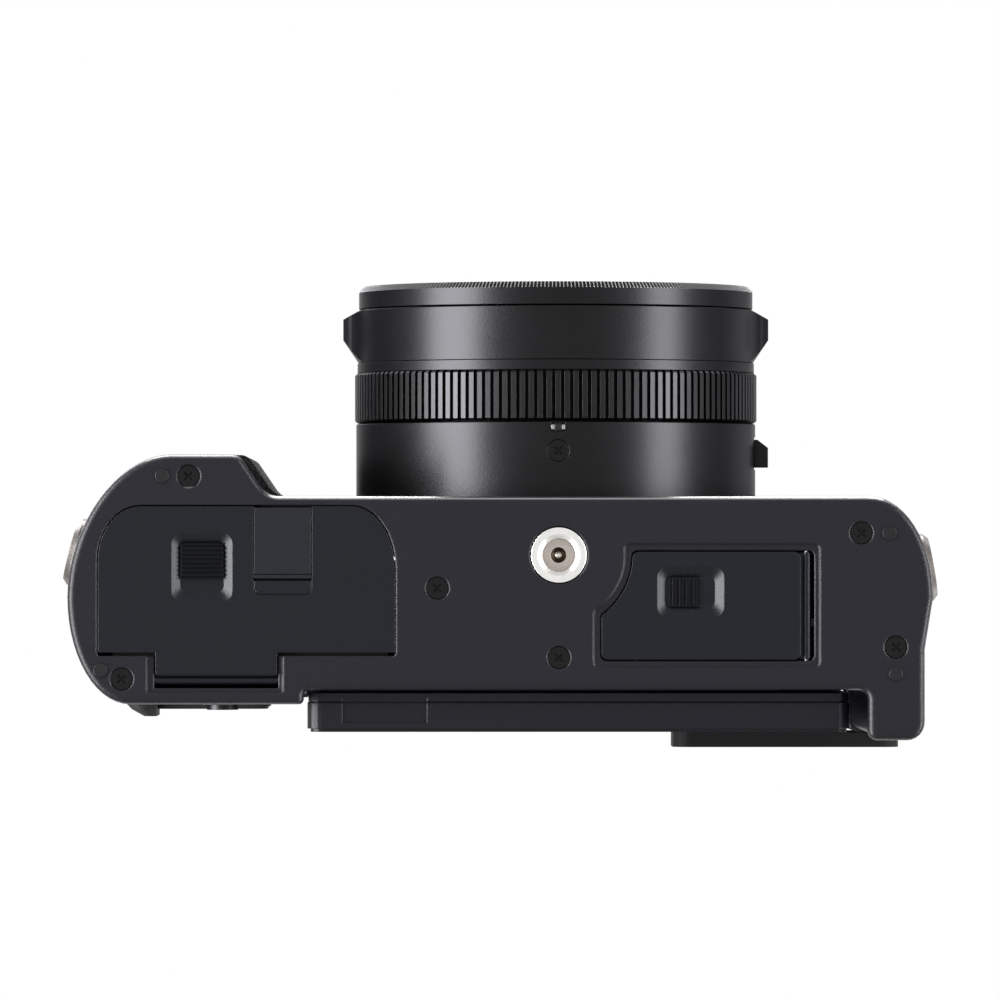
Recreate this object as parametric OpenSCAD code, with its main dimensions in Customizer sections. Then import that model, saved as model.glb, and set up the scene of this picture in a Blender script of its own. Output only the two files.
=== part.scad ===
// Fixed-lens digital camera in rangefinder style, as an assembly of separate pieces.
// Sizes are in millimetres. Working frame: the tripod axis is X = Y = 0, the outer face of
// the bottom plate is Z = 0, the lens points to -Y and the hand grip is on the -X side.
// Each piece is moved as a whole by home, so that the model stands centred on its box.

/* [Body] */
// Right end of the body, from the tripod axis
body_right = 57.7; // [57:0.1:60]
// Front face of the body, in front of the tripod axis
front_y = 9.1; // [8.8:0.1:9.6]
// Front of the hand grip, in front of the tripod axis
grip_y = 15.5; // [14.5:0.1:17]
// Back edge beside the screen, behind the tripod axis
back_y = 20.8; // [20.6:0.1:21]
// Back edge behind the thumb
thumb_y = 23; // [22.6:0.1:23.6]
// Back of the corner block beside the screen
block_y = 28.55; // [27.5:0.1:30]
// Height of the top plate
top_h = 17; // [16:0.1:19]
// Thickness of the bottom plate
plate_t = 2.2; // [2.1:0.1:2.6]
// Wall of the casings and top plate
wall = 1.6; // [1.3:0.1:1.8]
// Thickness of the textured covering
cover_t = 0.65; // [0.5:0.05:0.8]
// How far the covering swells at the inner side of the grip
grip_swell = 1.3; // [0:0.1:2]
// Height of the small feet under the plate
foot_h = 0.3; // [0.2:0.05:0.6]

/* [Lens] */
// Clearance of the lens barrel above the bottom plate's outer face
lens_lift = 8.33; // [8:0.01:10]
// Radius of the rear barrel
barrel_r = 31.67; // [31.5:0.01:33]
// Front end of the rear barrel, from the tripod axis
barrel_end = 20.8; // [20.5:0.1:21.5]
// Width of the focus ring
focus_w = 7.8; // [7:0.1:9]
// Width of the spacer ring
spacer_w = 1.5; // [1.2:0.1:2.5]
// Width of the aperture ring
aperture_w = 8.4; // [7:0.1:10]
// Height of the finger tabs above the aperture ring
tab_h = 2.44; // [2:0.01:4]
// Width of the front ring
filter_w = 3.45; // [3:0.05:6]
// Wall of the front ring outside its filter thread
front_wall = 6.83; // [6.6:0.01:8]
// Wall of the turning focus ring
ring_wall = 4.05; // [3.5:0.05:4.5]

/* [Bottom] */
// Radius of the tripod socket's flange
socket_r = 4.25; // [4:0.05:5]
// Minor radius of the 1/4-20 tripod thread
thread_r = 2.55; // [2.5:0.01:2.6]
// Depth of the tripod thread
thread_len = 4.7; // [4:0.1:5.5]
// Radius of the bottom screws' heads
screw_r = 1.65; // [1.5:0.05:1.8]
// Thickness of the battery and card doors
door_t = 1.6; // [1.5:0.05:1.7]
// Gap round the doors
door_gap = 0.2; // [0.1:0.05:0.3]
// Travel of the battery latch
battery_latch_travel = 1.9; // [1:0.1:2]
// Travel of the card latch
card_latch_travel = 1.8; // [1:0.1:2]

/* [Screen and finder] */
// Width of the screen
screen_w = 83.75; // [80:0.05:84]
// Thickness of the screen
screen_t = 6; // [5:0.1:7]
// Back of the rubber eyecup, behind the tripod axis
eyecup_y = 31.1; // [29:0.1:33]
// Width of the eyepiece
eyepiece_w = 36.7; // [34:0.1:38]

/* [Top controls] */
// Centre of the shutter speed dial
speed_at = [-33, 6]; // [-34:0.1:8]
// Height of the tallest control, the shutter button, above the top plate
button_h = 6.8; // [6:0.1:8]
// Radius of the shutter speed dial's cap
speed_r = 8.8; // [7:0.1:10]
// Radius of the exposure dial
comp_r = 7.4; // [6:0.1:8]
// Radius of the thumb and finger wheels
wheel_r = 7.4; // [7:0.1:8]
// Lift of the sensitivity ring
iso_lift = 1.5; // [1:0.1:2]

/* [Inside] */
// Width of the battery
battery_w = 36.4; // [35:0.1:38]
// Height of the battery box
box_top = 52; // [48:0.5:54]

/* [Hidden] */

fit = 0.05;         // radial clearance of a shaft in its bore
slip = 0.15;        // gap between sliding flat faces
round_fn = 96;      // segments of the big turned pieces
small_fn = 32;      // segments of the small turned pieces
casing_d = 0.7;     // how far the casings lie inside the plate's outline
split_y = 9;        // the two casings meet here

// the lens rings lie a little inside the barrel's surface, and the body follows the lens
focus_r = barrel_r - 0.22;
spacer_r = barrel_r - 0.2;
aperture_r = barrel_r - 0.37;
front_ring_r = barrel_r - 0.44;
filter_r = front_ring_r - front_wall; // minor radius of the filter thread
tab_r = aperture_r + tab_h;
tube_r = focus_r - ring_wall;       // fixed inner tube that the rings turn on
tail_r = tube_r - 2.4;              // the barrel's tail inside the body
lens_z = barrel_r + lens_lift;
casing_top = lens_z + tail_r + 1;
body_top = casing_top + top_h;
box_wall = 1;                       // wall of the battery box
box_gap = 0.1;                      // gap round the battery
box_x1 = -tail_r - 3.7;             // the box stands beside the barrel's tail
box_x = [box_x1 - battery_w - 2 * (box_wall + box_gap), box_x1];
body_left = 8.4 - box_x[0];         // the body's left end, from the tripod axis
screen_x = [body_right - 12.75 - screen_w, body_right - 12.75];
screen_z = [3, casing_top - 5];
eyepiece_x = [body_right - 1.7 - eyepiece_w, body_right - 1.7];
eyepiece_z = [casing_top + 1.5, body_top - 0.6];
button_at = [15.7 - body_left, -4.5];
comp_at = [14.2 - body_left, 13.2];
lens_front = barrel_end + focus_w + spacer_w + aperture_w + filter_w + 0.55;

// the two strap lugs: angle in front of the side, foot point, reach
lug_r = 5.5;
lug_face_r = 4.7;
lug_reach = 3.45;
lug_z = casing_top - 2.5;
lug_left = [14.6, [0.92 - body_left, 0.1]];
lug_right = [9.9, [body_right + 0.09, 2.4]];
lug_left_end = -lug_left[1][0] + lug_reach * cos(lug_left[0]) + lug_face_r * sin(lug_left[0]);
lug_right_end = lug_right[1][0] + lug_reach * cos(lug_right[0]) + lug_face_r * sin(lug_right[0]);
home = [(lug_left_end - lug_right_end) / 2, (lens_front - eyecup_y) / 2, foot_h];

// ---------------------------------------------------------------- outline of the body
function arc(c, rx, ry, a0, a1, n = 6) =
    [for (i = [0:n]) let (a = a0 + (a1 - a0) * i / n) [c[0] + rx * cos(a), c[1] + ry * sin(a)]];
// a rounded outer corner, inset by d: a small radius stays once its own is used up
least_r = 0.2;
function corner(c, r, d, a0, a1) =
    let (left = max(r - d, least_r), mid = (a0 + a1) / 2,
         shift = min(r - d - least_r, 0) / cos((a1 - a0) / 2))
    arc(c + shift * [cos(mid), sin(mid)], left, left, a0, a1);
function power(v, n) = sign(v) * pow(abs(v), n);
function super_arc(c, rx, ry, n, steps) =
    [for (i = [0:steps]) let (a = 180 + 90 * i / steps)
        [c[0] + rx * power(cos(a), 2 / n), c[1] + ry * power(sin(a), 2 / n)]];

side_mid = 6.5;     // widest place of both rounded ends
block_x = screen_x[1] + 2.65;     // inner wall of the corner block
step_x = screen_x[0] - 0.5;       // step beside the screen's other edge
grip_top_x = 15.8 - body_left;    // the grip's curve starts here
grip_in_x = 25.3 - body_left;     // and its inner side turns back here
// outline of the body inset by d, with its grip's inner side moved out by swell
function outline(d = 0, swell = 0) = concat(
    arc([body_right - 9.9, side_mid], 9.9 - d, front_y + side_mid - d, -90, 0, 14),
    [[body_right - 1.3 - d, 14.5]],
    corner([body_right - 4.1, block_y - 2.8], 2.8, d, 0, 90),
    corner([block_x + 1.5, block_y - 1.5], 1.5, d, 90, 180),
    arc([block_x - 1.5, back_y + 1.5], 1.5 + d, 1.5 + d, 0, -90),
    arc([step_x + 0.9, back_y + 0.9], 0.9 + d, 0.9 + d, -90, -180, 4),
    corner([step_x - 0.8, thumb_y - 0.8], 0.8, d, 0, 90),
    arc([9.7 - body_left, side_mid], 9.7 - d, thumb_y - side_mid - d, 90, 180, 14),
    super_arc([grip_top_x, side_mid], body_left + grip_top_x - d, grip_y + side_mid - d, 1.86, 18),
    corner([grip_in_x + swell, 2 - grip_y], 2, d, -90, -38),
    arc([grip_in_x + 7.3 + swell, -front_y - 3.6], 3.6 + d, 3.6 + d, 142, 90, 6));

// cuts a rounded edge along the outline: a closed profile of [inset, height] swept round it,
// listed outside first and upwards
module edge_cutter(profile) {
    n = len(outline(0));
    m = len(profile);
    polyhedron(
        points = [for (q = profile) for (p = outline(q[0])) [p[0], p[1], q[1]]],
        faces = [for (k = [0:m - 1]) for (i = [0:n - 1]) let (up = (k + 1) % m, on = (i + 1) % n)
            [k * n + i, up * n + i, up * n + on, k * n + on]],
        convexity = 6);
}

module prism(pts, z0, z1) { translate([0, 0, z0]) linear_extrude(z1 - z0) polygon(pts); }
module slab(x, y, z) { translate([x[0], y[0], z[0]]) cube([x[1] - x[0], y[1] - y[0], z[1] - z[0]]); }
module rod_z(at, r, z, fn = small_fn) {
    translate([at[0], at[1], z[0]]) cylinder(r = r, h = z[1] - z[0], $fn = fn);
}
module rod_x(at, r, x, fn = small_fn) {
    translate([x[0], at[0], at[1]]) rotate([0, 90, 0]) cylinder(r = r, h = x[1] - x[0], $fn = fn);
}
module rod_y(at, r, y, fn = small_fn) {
    translate([at[0], y[1], at[1]]) rotate([90, 0, 0]) cylinder(r = r, h = y[1] - y[0], $fn = fn);
}
// turned about the lens axis: the profile is [radius, distance forward]
module turned(profile, fn = round_fn) {
    translate([0, 0, lens_z]) rotate([90, 0, 0]) rotate_extrude($fn = fn) polygon(profile);
}
module ring(r0, r1, f0, f1, fn = round_fn) { turned([[r0, f0], [r1, f0], [r1, f1], [r0, f1]], fn); }
function around(c, a, b) = [c + a, c + b];
module rounded(size, r) { offset(r = r, $fn = 24) square([size[0] - 2 * r, size[1] - 2 * r], center = true); }

// ---------------------------------------------------------------- bottom plate and its doors
battery_x = [box_x[0] - 3.65, box_x[1] + 3.4];
battery_y = [-7.5, 15];
tab_x = [battery_x[0] + 8.85, battery_x[0] + 27.55];
battery_pin = [battery_y[1] + 4.3, 1.3];      // hinge axis: Y and Z
tab_end = battery_pin[0] - 0.9; // the door's tab stops in front of its hinge barrel
knuckle_r = 0.7;
pin_r = 0.4;
// outline of the battery door, grown by g
function battery_outline(g, end) = concat(
    arc([battery_x[1] - 6.6, 2.15], 6.6 + g, 2.15 - battery_y[0] + g, -90, 0, 10),
    [[battery_x[1] + g, battery_y[1] + g], [tab_x[1] + g, battery_y[1] + g],
     [tab_x[1] + g, end + g], [tab_x[0] - g, end + g],
     [tab_x[0] - g, battery_y[1] + g], [battery_x[0] - g, battery_y[1] + g]],
    arc([battery_x[0] + 6.55, 0.9], 6.55 + g, 0.9 - battery_y[0] + g, 180, 270, 10));

card_x = [6.6, 37.2];
card_y = [-0.5, 16.1];
slot_x = [card_x[0] + 2.8, card_x[1] - 0.8];    // the card slot inside
slot_y = [11, 16];
card_cut_r = 11.4;          // the corner near the tripod socket is cut by this circle
card_pin = [38.2, 1.3];     // hinge axis: X and Z
// outline of the card door, grown by g, with its right edge at x1
module card_shape(g, x1) {
    offset(r = 0.9, $fn = 32) offset(delta = -1.8) offset(r = 0.9, $fn = 32)
        difference() {
            translate([card_x[0] - g, card_y[0] - g])
                square([x1 - card_x[0] + g, card_y[1] - card_y[0] + 2 * g]);
            circle(r = card_cut_r - g, $fn = 64);
        }
}

screw_places = [[18.7 - body_left, -12.15], [8.4 - body_left, 19.1], [battery_x[1] + 6.6, 5.1],
                [0, 15.8], [body_right - 11.1, -3.4], [body_right - 5.8, 14.2]];
foot_places = [[14.6 - body_left, -12.2], [5.1 - body_left, 17.7],
               [body_right - 6.8, -3.4], [body_right - 5.8, 18.3]];

module bottom_plate() color([0.19, 0.19, 0.2]) translate(home) difference() {
    union() {
        prism(outline(), 0, plate_t);
        rod_z([0, 0], socket_r + 1.6, [plate_t - 0.1, thread_len + 1.6]);
    }
    edge_cutter([[-0.7, -0.7], [-0.7, 1.1], [0, 1.1], [0.1, 0.62], [0.32, 0.29], [0.62, 0.09],
                 [1, 0], [1, -0.7]]);
    // battery door opening, its wider back gap, the shallow step and the latch ledge
    prism(battery_outline(door_gap, tab_end + 1.9), -1, plate_t + 1);
    slab(battery_x, [battery_y[1], battery_y[1] + 0.55], [-1, plate_t + 1]);
    slab([tab_x[0] - 1.35, tab_x[1] + 0.9], [battery_y[1] + 0.5, battery_pin[0] + 1.8], [-1, 0.5]);
    rod_x(battery_pin, pin_r + 0.02, [tab_x[0] - 2.4, tab_x[1] + 2.4]);
    // card door opening and the shallow rim round it
    translate([0, 0, -1]) linear_extrude(plate_t + 2) card_shape(door_gap, card_pin[0] + 1.15);
    translate([0, 0, -1]) linear_extrude(1.35) card_shape(1.25, card_pin[0] + 2);
    rod_y(card_pin, pin_r + 0.02, [card_y[0] - 2.4, card_y[1] + 2.4]);
    rod_z([0, 0], socket_r + 0.2, [-1, 1.6]);
    rod_z([0, 0], thread_r + 1.2, [1, thread_len + 3]);
    for (p = screw_places) {
        rod_z(p, screw_r + 0.12, [-1, 0.9]);
        rod_z(p, 0.75, [0, plate_t + 1]);
    }
    for (p = foot_places) rod_z(p, 0.8, [-1, 0.8]);
}

module plate_feet() color([0.12, 0.12, 0.12]) translate(home)
    for (p = foot_places) {
        rod_z(p, 1.05, [-foot_h, -0.001]);
        rod_z(p, 0.75, [-0.1, 0.8]);
    }

module cross_screw(r, head, len) {
    difference() {
        union() {
            cylinder(r = r, h = head, $fn = small_fn);
            translate([0, 0, head - 0.1]) cylinder(r = 0.7, h = len - head + 0.1, $fn = small_fn);
        }
        for (a = [45, 135]) rotate(a) translate([-0.85, -0.2, -1]) cube([1.7, 0.4, 1.55]);
    }
}
module bottom_screws() color([0.1, 0.1, 0.11]) translate(home)
    for (p = screw_places) translate([p[0], p[1], 0.1]) cross_screw(screw_r, 0.8, plate_t + 0.9);

module tripod_socket() color([0.8, 0.8, 0.79]) translate(home) difference() {
    union() {
        rod_z([0, 0], socket_r, [0.05, 1.6], round_fn);
        rod_z([0, 0], thread_r + 1.18, [1.5, thread_len + 2.3], round_fn);
    }
    rod_z([0, 0], thread_r, [0.7, thread_len + 0.7], 64);
    rod_z([0, 0], 1.2, [thread_len + 0.6, thread_len + 1.3], small_fn);
    translate([0, 0, thread_len + 1.29]) cylinder(r1 = 1.2, r2 = 0.2, h = 0.5, $fn = small_fn);
    cylinder(r1 = thread_r + 0.75, r2 = thread_r, h = 0.71, $fn = 64);
}

// a bevelled finger well of outer size o, floor size f and depth h, open towards -Z
module well(o, f, h) {
    hull() {
        translate([0, 0, -0.1]) linear_extrude(0.11) rounded(o, 1.6);
        translate([0, 0, h - 0.01]) linear_extrude(0.01) rounded(f, 0.9);
    }
}
well_depth = 0.9;
battery_well = [battery_x[0] + 16, 1.9];  // centre of the battery latch's well
card_well = [20.3, 5.7];        // centre of the card latch's well
battery_slide = [6.4, 5.3];     // size of the battery latch's finger plate
card_slide = [4.7, 4.1];
stem_w = 2.6;                   // the latches' stems through their doors: width, length
stem_len = 1.4;
stem_start = 0.5;               // from the finger plate's end, which always hides the slot
latch_shift = 0.9;              // the finger plates rest this far off their wells' centres
tongue_t = 0.35;                // thickness of the latches' tongues inside

module battery_door() color([0.16, 0.16, 0.17]) translate(home) {
    rod_x(flap_pin, flap_pin_r, [flap_x[0] - 0.4, flap_x[1] + 0.4]);
    battery_door_panel();
}
module battery_door_panel() difference() {
    union() {
        prism(battery_outline(0, tab_end), 0.02, door_t);
        rod_x(battery_pin, knuckle_r, [tab_x[0] - 0.1, tab_x[1] + 0.1]);
        slab([tab_x[0] + 0.1, tab_x[1] - 0.1], [tab_end - 0.1, battery_pin[0]], [0.95, 1.55]);
    }
    translate([battery_well[0], battery_well[1], 0.02]) well([9.4, 10.5], [6.7, 7.4], well_depth);
    slab(around(battery_well[0], -stem_w / 2 - 0.2, stem_w / 2 + 0.2),
         around(battery_well[1] - latch_shift - battery_slide[1] / 2 + stem_start, -0.2,
                stem_len + battery_latch_travel + 0.2), [0, 3]);
    flap_cut(0.15);
    flap_root(0.12);
    rod_x(battery_pin, pin_r + fit, [tab_x[0] - 1, tab_x[1] + 1]);
}

flap_x = [battery_x[0] + 24.05, battery_x[0] + 32.8];
flap_y = [battery_y[0] + 0.2, 6];
flap_pin = [flap_y[1] - 2.7, 0.6];  // the flap turns on its crease
flap_barrel = 0.52;
flap_pin_r = 0.22;
module flap_cut(g) {
    slab([flap_x[0] - g, flap_x[1] + g], [battery_y[0] - 1, flap_pin[0] + flap_barrel + g], [-1, door_t + 1]);
}
// groove round the flap's fixed root, which the door carries
module flap_root(g) {
    translate([0, 0, -1]) linear_extrude(1.25) difference() {
        root_shape(g);
        root_shape(0);
    }
}
module root_shape(g) {
    hull() for (x = [flap_x[0] + 1, flap_x[1] - 1]) {
        translate([x, flap_y[1] - 1]) circle(r = 1 + g, $fn = small_fn);
        translate([x - 1 - g, flap_pin[0] + flap_barrel]) square([2 + 2 * g, 0.1]);
    }
}
module cable_flap() color([0.13, 0.13, 0.14]) translate(home) difference() {
    union() {
        slab(flap_x, [flap_y[0], flap_pin[0] - 0.4], [0.02, 1.2]);
        slab(flap_x, [flap_pin[0] - 0.5, flap_pin[0]], [0.5, 1]);
        rod_x(flap_pin, flap_barrel, flap_x);
    }
    rod_x(flap_pin, flap_pin_r + fit, [flap_x[0] - 1, flap_x[1] + 1]);
}

// a sliding latch: ribbed finger plate in the well, stem through the door, tongue inside
module latch(size, ribs, pitch, along_x, reach) {
    low = 0.28;
    top = well_depth - slip + 0.02;
    difference() {
        translate([-size[0] / 2, -size[1] / 2, low]) cube([size[0], size[1], top - low]);
        for (i = [0:ribs - 1]) {
            p = (i - (ribs - 1) / 2) * pitch;
            if (along_x)
                translate([p - pitch * 0.22, -size[1], low - 1]) cube([pitch * 0.44, 2 * size[1], 1.25]);
            else
                translate([-size[0], p - pitch * 0.22, low - 1]) cube([2 * size[0], pitch * 0.44, 1.25]);
        }
    }
    shift = stem_start + stem_len / 2 - (along_x ? size[0] : size[1]) / 2;
    sole = [door_t + slip, door_t + slip + tongue_t];
    if (along_x) {
        slab(around(shift, -stem_len / 2, stem_len / 2), [-1, 1] * stem_w / 2, [top - 0.01, sole[1]]);
        slab([-reach, shift + stem_len / 2], [-1, 1] * stem_w / 2, sole);
    } else {
        slab([-1, 1] * stem_w / 2, around(shift, -stem_len / 2, stem_len / 2), [top - 0.01, sole[1]]);
        slab([-1, 1] * stem_w / 2, [-reach, shift + stem_len / 2], sole);
    }
}
module battery_latch() color([0.1, 0.1, 0.11]) translate(home)
    translate([battery_well[0], battery_well[1] - latch_shift, 0])
        latch(battery_slide, 8, 0.68, false, battery_well[1] - latch_shift - battery_y[0] - 0.3);
module card_latch() color([0.1, 0.1, 0.11]) translate(home)
    translate([card_well[0] - latch_shift, card_well[1], 0])
        latch(card_slide, 5, 1.06, true, card_well[0] - latch_shift - card_cut_r - 0.3);

module card_door() color([0.16, 0.16, 0.17]) translate(home) difference() {
    union() {
        translate([0, 0, 0.12]) linear_extrude(door_t - 0.12) card_shape(0, card_x[1]);
        rod_y(card_pin, knuckle_r, [card_y[0] + 0.1, card_y[1] - 0.1]);
        slab([card_x[1] - 0.1, card_pin[0]], [card_y[0] + 0.1, card_y[1] - 0.1], [0.95, 1.55]);
    }
    translate([card_well[0], card_well[1], 0.12]) well([10.3, 7.8], [7.5, 4.5], well_depth);
    slab(around(card_well[0] - latch_shift - card_slide[0] / 2 + stem_start, -0.2,
                stem_len + card_latch_travel + 0.2),
         around(card_well[1], -stem_w / 2 - 0.2, stem_w / 2 + 0.2), [0, 3]);
    rod_y(card_pin, pin_r + fit, [card_y[0] - 1, card_y[1] + 1]);
}

module hinge_pins() color([0.6, 0.6, 0.6]) translate(home) {
    rod_x(battery_pin, pin_r, [tab_x[0] - 2.2, tab_x[1] + 2.2]);
    rod_y(card_pin, pin_r, [card_y[0] - 2.2, card_y[1] + 2.2]);
    rod_z(port_pin, pin_r, [port_z[0] - 1.8, port_z[1] + 1.8]);
    rod_x(arm_pin, pin_r, [arm_x[0] - 3.2, arm_x[1] + 3.2]);
}

// ---------------------------------------------------------------- casings and covering
recess_y = back_y - 1.2;         // the wall behind the screen
recess_x = [step_x + 0.6, screen_x[1] + 1.45];
recess_top = screen_z[1] + 1.5;
module casing_ring() {
    difference() {
        prism(outline(casing_d), plate_t, casing_top);
        slab(recess_x, [recess_y, 60], [0, recess_top]);
        difference() {
            prism(outline(casing_d + wall), 0, casing_top + 1);
            slab([recess_x[0] - wall, recess_x[1] + wall], [recess_y - wall, 60], [0, recess_top + wall]);
        }
    }
}
module front_casing() color([0.17, 0.17, 0.18]) translate(home) difference() {
    casing_ring();
    slab([-100, 100], [split_y, 60], [0, 100]);
    ring(0, tail_r + 0.1, 0, 30);
    for (side = [lug_left, lug_right])
        rod_x([side[1][1] + 0.5, lug_z - 0.2], 2.6, around(side[1][0], -4, 4));
}

stick_at = [22.7 - body_left, casing_top - 22];
rear_buttons = [for (down = [11, 20, 29]) stick_at - [0, down]];
button_r = 2.3;
thumb_wall = thumb_y - casing_d;  // outer face of the casing behind the thumb
port_y = [15.2, 24.4];
port_z = [22, 50];
side_wall = body_right - 1.3 - casing_d; // outer face of the casing's flat side
port_pin = [side_wall - 0.65, port_y[1]];
arm_pin = [back_y - 0.45, screen_z[0] + 0.7];   // lower hinge axis of the screen's arm: Y and Z
arm_x = [screen_x[0] + 10.8, screen_x[1] - 10.95];
module rear_casing() color([0.17, 0.17, 0.18]) translate(home) difference() {
    union() {
        casing_ring();
        for (x = [arm_x[0] - 3.4, arm_x[1] + 0.4])
            slab([x, x + 3], [recess_y - 0.1, arm_pin[0] + 0.45], [plate_t, arm_pin[1] + 0.8]);
    }
    slab([-100, 100], [-60, split_y], [0, 100]);
    rod_x(arm_pin, pin_r + 0.02, [arm_x[0] - 3.3, arm_x[1] + 3.3]);
    for (p = rear_buttons) rod_y(p, button_r + 0.12, [thumb_wall - 4, thumb_wall + 4]);
    rod_y(stick_at, 3, [thumb_wall - 4, thumb_wall + 4]);
    slab([side_wall - 3, side_wall + 3], [port_y[0] - 0.2, port_y[1] + 0.9], [port_z[0] - 0.2, port_z[1] + 0.2]);
    rod_z(port_pin, pin_r + 0.02, [port_z[0] - 2, port_z[1] + 2]);
}

cover_z = [4.2, casing_top - 3.5];
module grip_cover() color([0.12, 0.12, 0.12]) translate(home) difference() {
    prism(outline(casing_d - cover_t, grip_swell), cover_z[0], cover_z[1]);
    prism(outline(casing_d), 0, casing_top);
    slab([-100, 100], [split_y - 0.3, 60], [0, 100]);
    ring(0, barrel_r + 0.4, 0, 30);
    for (side = [lug_left, lug_right]) rod_x([side[1][1], lug_z], lug_r + 0.5, [side[1][0] - 9, side[1][0] + 9]);
}

thumb_x = [6.2 - body_left, 12.1 - body_left];
thumb_z = [casing_top - 18, casing_top - 5];
pad_x = [thumb_x[1] - 1, thumb_x[1] + 18];   // the flat pad beside the rest's ridge
pad_z = [casing_top - 15.5, casing_top - 2.8];
module thumb_pad(y, cut) {
    translate([(pad_x[0] + pad_x[1]) / 2, y[1], (pad_z[0] + pad_z[1]) / 2]) rotate([90, 0, 0])
        linear_extrude(y[1] - y[0])
            rounded([pad_x[1] - pad_x[0] - 2 * cut, pad_z[1] - pad_z[0] - 2 * cut], 2.4 - cut);
}
module thumb_rest() color([0.12, 0.12, 0.12]) translate(home) difference() {
    union() {
    hull() {
        for (z = thumb_z) {
            rod_y([thumb_x[0] + 2, z], 2, [16, 22.6]);
            rod_y([thumb_x[1] - 2, z], 2, [16, thumb_y + 1.6]);
            rod_y([thumb_x[1] - 1, z], 1, [16, thumb_y + 2.7]);
        }
    }
    thumb_pad([16, thumb_y + 1.2], 0);
    thumb_pad([16, thumb_y + 1.6], 0.4);
    }
    prism(outline(casing_d), 0, casing_top);
}

// ---------------------------------------------------------------- top plate and shoe
iso_r = [speed_r + 0.3, speed_r + 2.8]; // inner and outer radius of the sensitivity ring
iso_top = body_top + 3.7;
front_wheel = [17.2 - body_left, -grip_y - 0.6 + wheel_r];
rear_wheel = [20.2 - body_left, thumb_y + 1.6 - wheel_r];
wheel_z = [body_top - 11.5, body_top - 8];
shoe_at = [0, 5.5];
module top_plate() color([0.18, 0.18, 0.19]) translate(home) difference() {
    prism(outline(), casing_top, body_top);
    edge_cutter([[-0.7, body_top - 1.2], [-0.7, body_top + 1], [1.2, body_top + 1], [1.2, body_top],
                 [0.35, body_top - 0.35], [0, body_top - 1.2]]);
    prism(outline(wall + 0.2), casing_top - 1, body_top - wall);
    rod_z(speed_at, iso_r[1] - 0.3 + fit, [body_top - 4, body_top + 4], round_fn);
    rod_z(button_at, 4 + fit, [body_top - 4, body_top + 4], 64);
    rod_z(comp_at, 2 + fit, [body_top - 4, body_top + 4]);
    ring(0, barrel_r + 0.1, body_face, 30);
    for (w = [front_wheel, rear_wheel]) rod_z(w, wheel_r + 0.35, [wheel_z[0] - 0.3, wheel_z[1] + 0.3], 64);
    slab([eyepiece_x[0] + 3, eyepiece_x[1] - 6], [15, 40], [eyepiece_z[0] + 2.5, body_top - 2.6]);
    slab([window_x[0], window_x[1]], [-30, 0], window_z);
    rod_x(diopter_at, 1.2 + fit, around(body_right, -12, 12));
    for (x = [-8, 8]) for (y = [-6, 6]) rod_z(shoe_at + [x, y], 0.75, [body_top - 4, body_top + 4]);
}

module hot_shoe() color([0.72, 0.72, 0.71]) translate([shoe_at[0], shoe_at[1], body_top] + home) {
    difference() {
        slab([-11, 11], [-10, 10], [0, 5]);
        slab([-9.35, 9.35], [-8.6, 11], [1, 3]);
        slab([-6.3, 6.3], [-8.6, 11], [1, 8]);
        for (x = [-3.4, 0, 3.4]) rod_z([x, 1.5], 0.8, [0.5, 3]);
    }
    for (x = [-3.4, 0, 3.4]) rod_z([x, 1.5], 0.75, [0.4, 1.15]);
    for (x = [-8, 8]) for (y = [-6, 6]) rod_z([x, y], 0.7, [-2.4, 0.5]);
}

// carries the shafts of the top controls under the top plate
bracket_z = [body_top - 5.5, body_top - 4.3];
bracket_x = [8.7 - body_left, 26.2 - body_left, speed_at[0] + 13.5];
module top_bracket() color([0.45, 0.45, 0.44]) translate(home) {
    difference() {
        slab([bracket_x[0], bracket_x[1]], [-9.5, 17.5], bracket_z);
        slab([bracket_x[1] - 0.1, bracket_x[2]], [wall + 0.9 - front_y, 17.5], bracket_z);
        rod_z(speed_at, 2 + fit, around(bracket_z[0], -2, 4));
        rod_z(button_at, 1.5 + fit, around(bracket_z[0], -2, 4));
        rod_z(comp_at, 2 + fit, around(bracket_z[0], -2, 4));
    }
    for (p = [[bracket_x[1] + 1.5, -5], [bracket_x[1] + 1.5, 14.5], [bracket_x[2] - 1.4, -5], [bracket_x[2] - 1.4, 15]])
        rod_z(p, 1.3, [bracket_z[1] - 0.1, body_top - wall]);
    for (w = [front_wheel, rear_wheel]) rod_z(w, 1.2, [wheel_z[0] - 1.5, bracket_z[0] + 0.1]);
    for (w = [front_wheel, rear_wheel]) rod_z(w, 2.4, [wheel_z[0] - 1.5, wheel_z[0] - 0.3]);
}

// ---------------------------------------------------------------- finder
window_x = [eyepiece_x[0] + 7.7, eyepiece_x[1] - 7];
window_z = [casing_top + 3.5, body_top - 3.5];
finder_wall = 1.2;
module finder_tube() color([0.2, 0.2, 0.21]) translate(home) difference() {
    slab([window_x[0] - finder_wall, window_x[1] + finder_wall], [wall + 0.9 - front_y, back_y - wall - 0.4],
         [window_z[0] - 3.1, window_z[1] + finder_wall]);
    slab(window_x, [-40, 40], [window_z[0] - 1.5, window_z[1]]);
}
module finder_window() color([0.1, 0.12, 0.14]) translate(home)
    slab([window_x[0] + 0.05, window_x[1] - 0.05], [-front_y + 0.3, -front_y + wall - 0.2],
         [window_z[0] + 0.05, window_z[1] - 0.05]);

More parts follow.
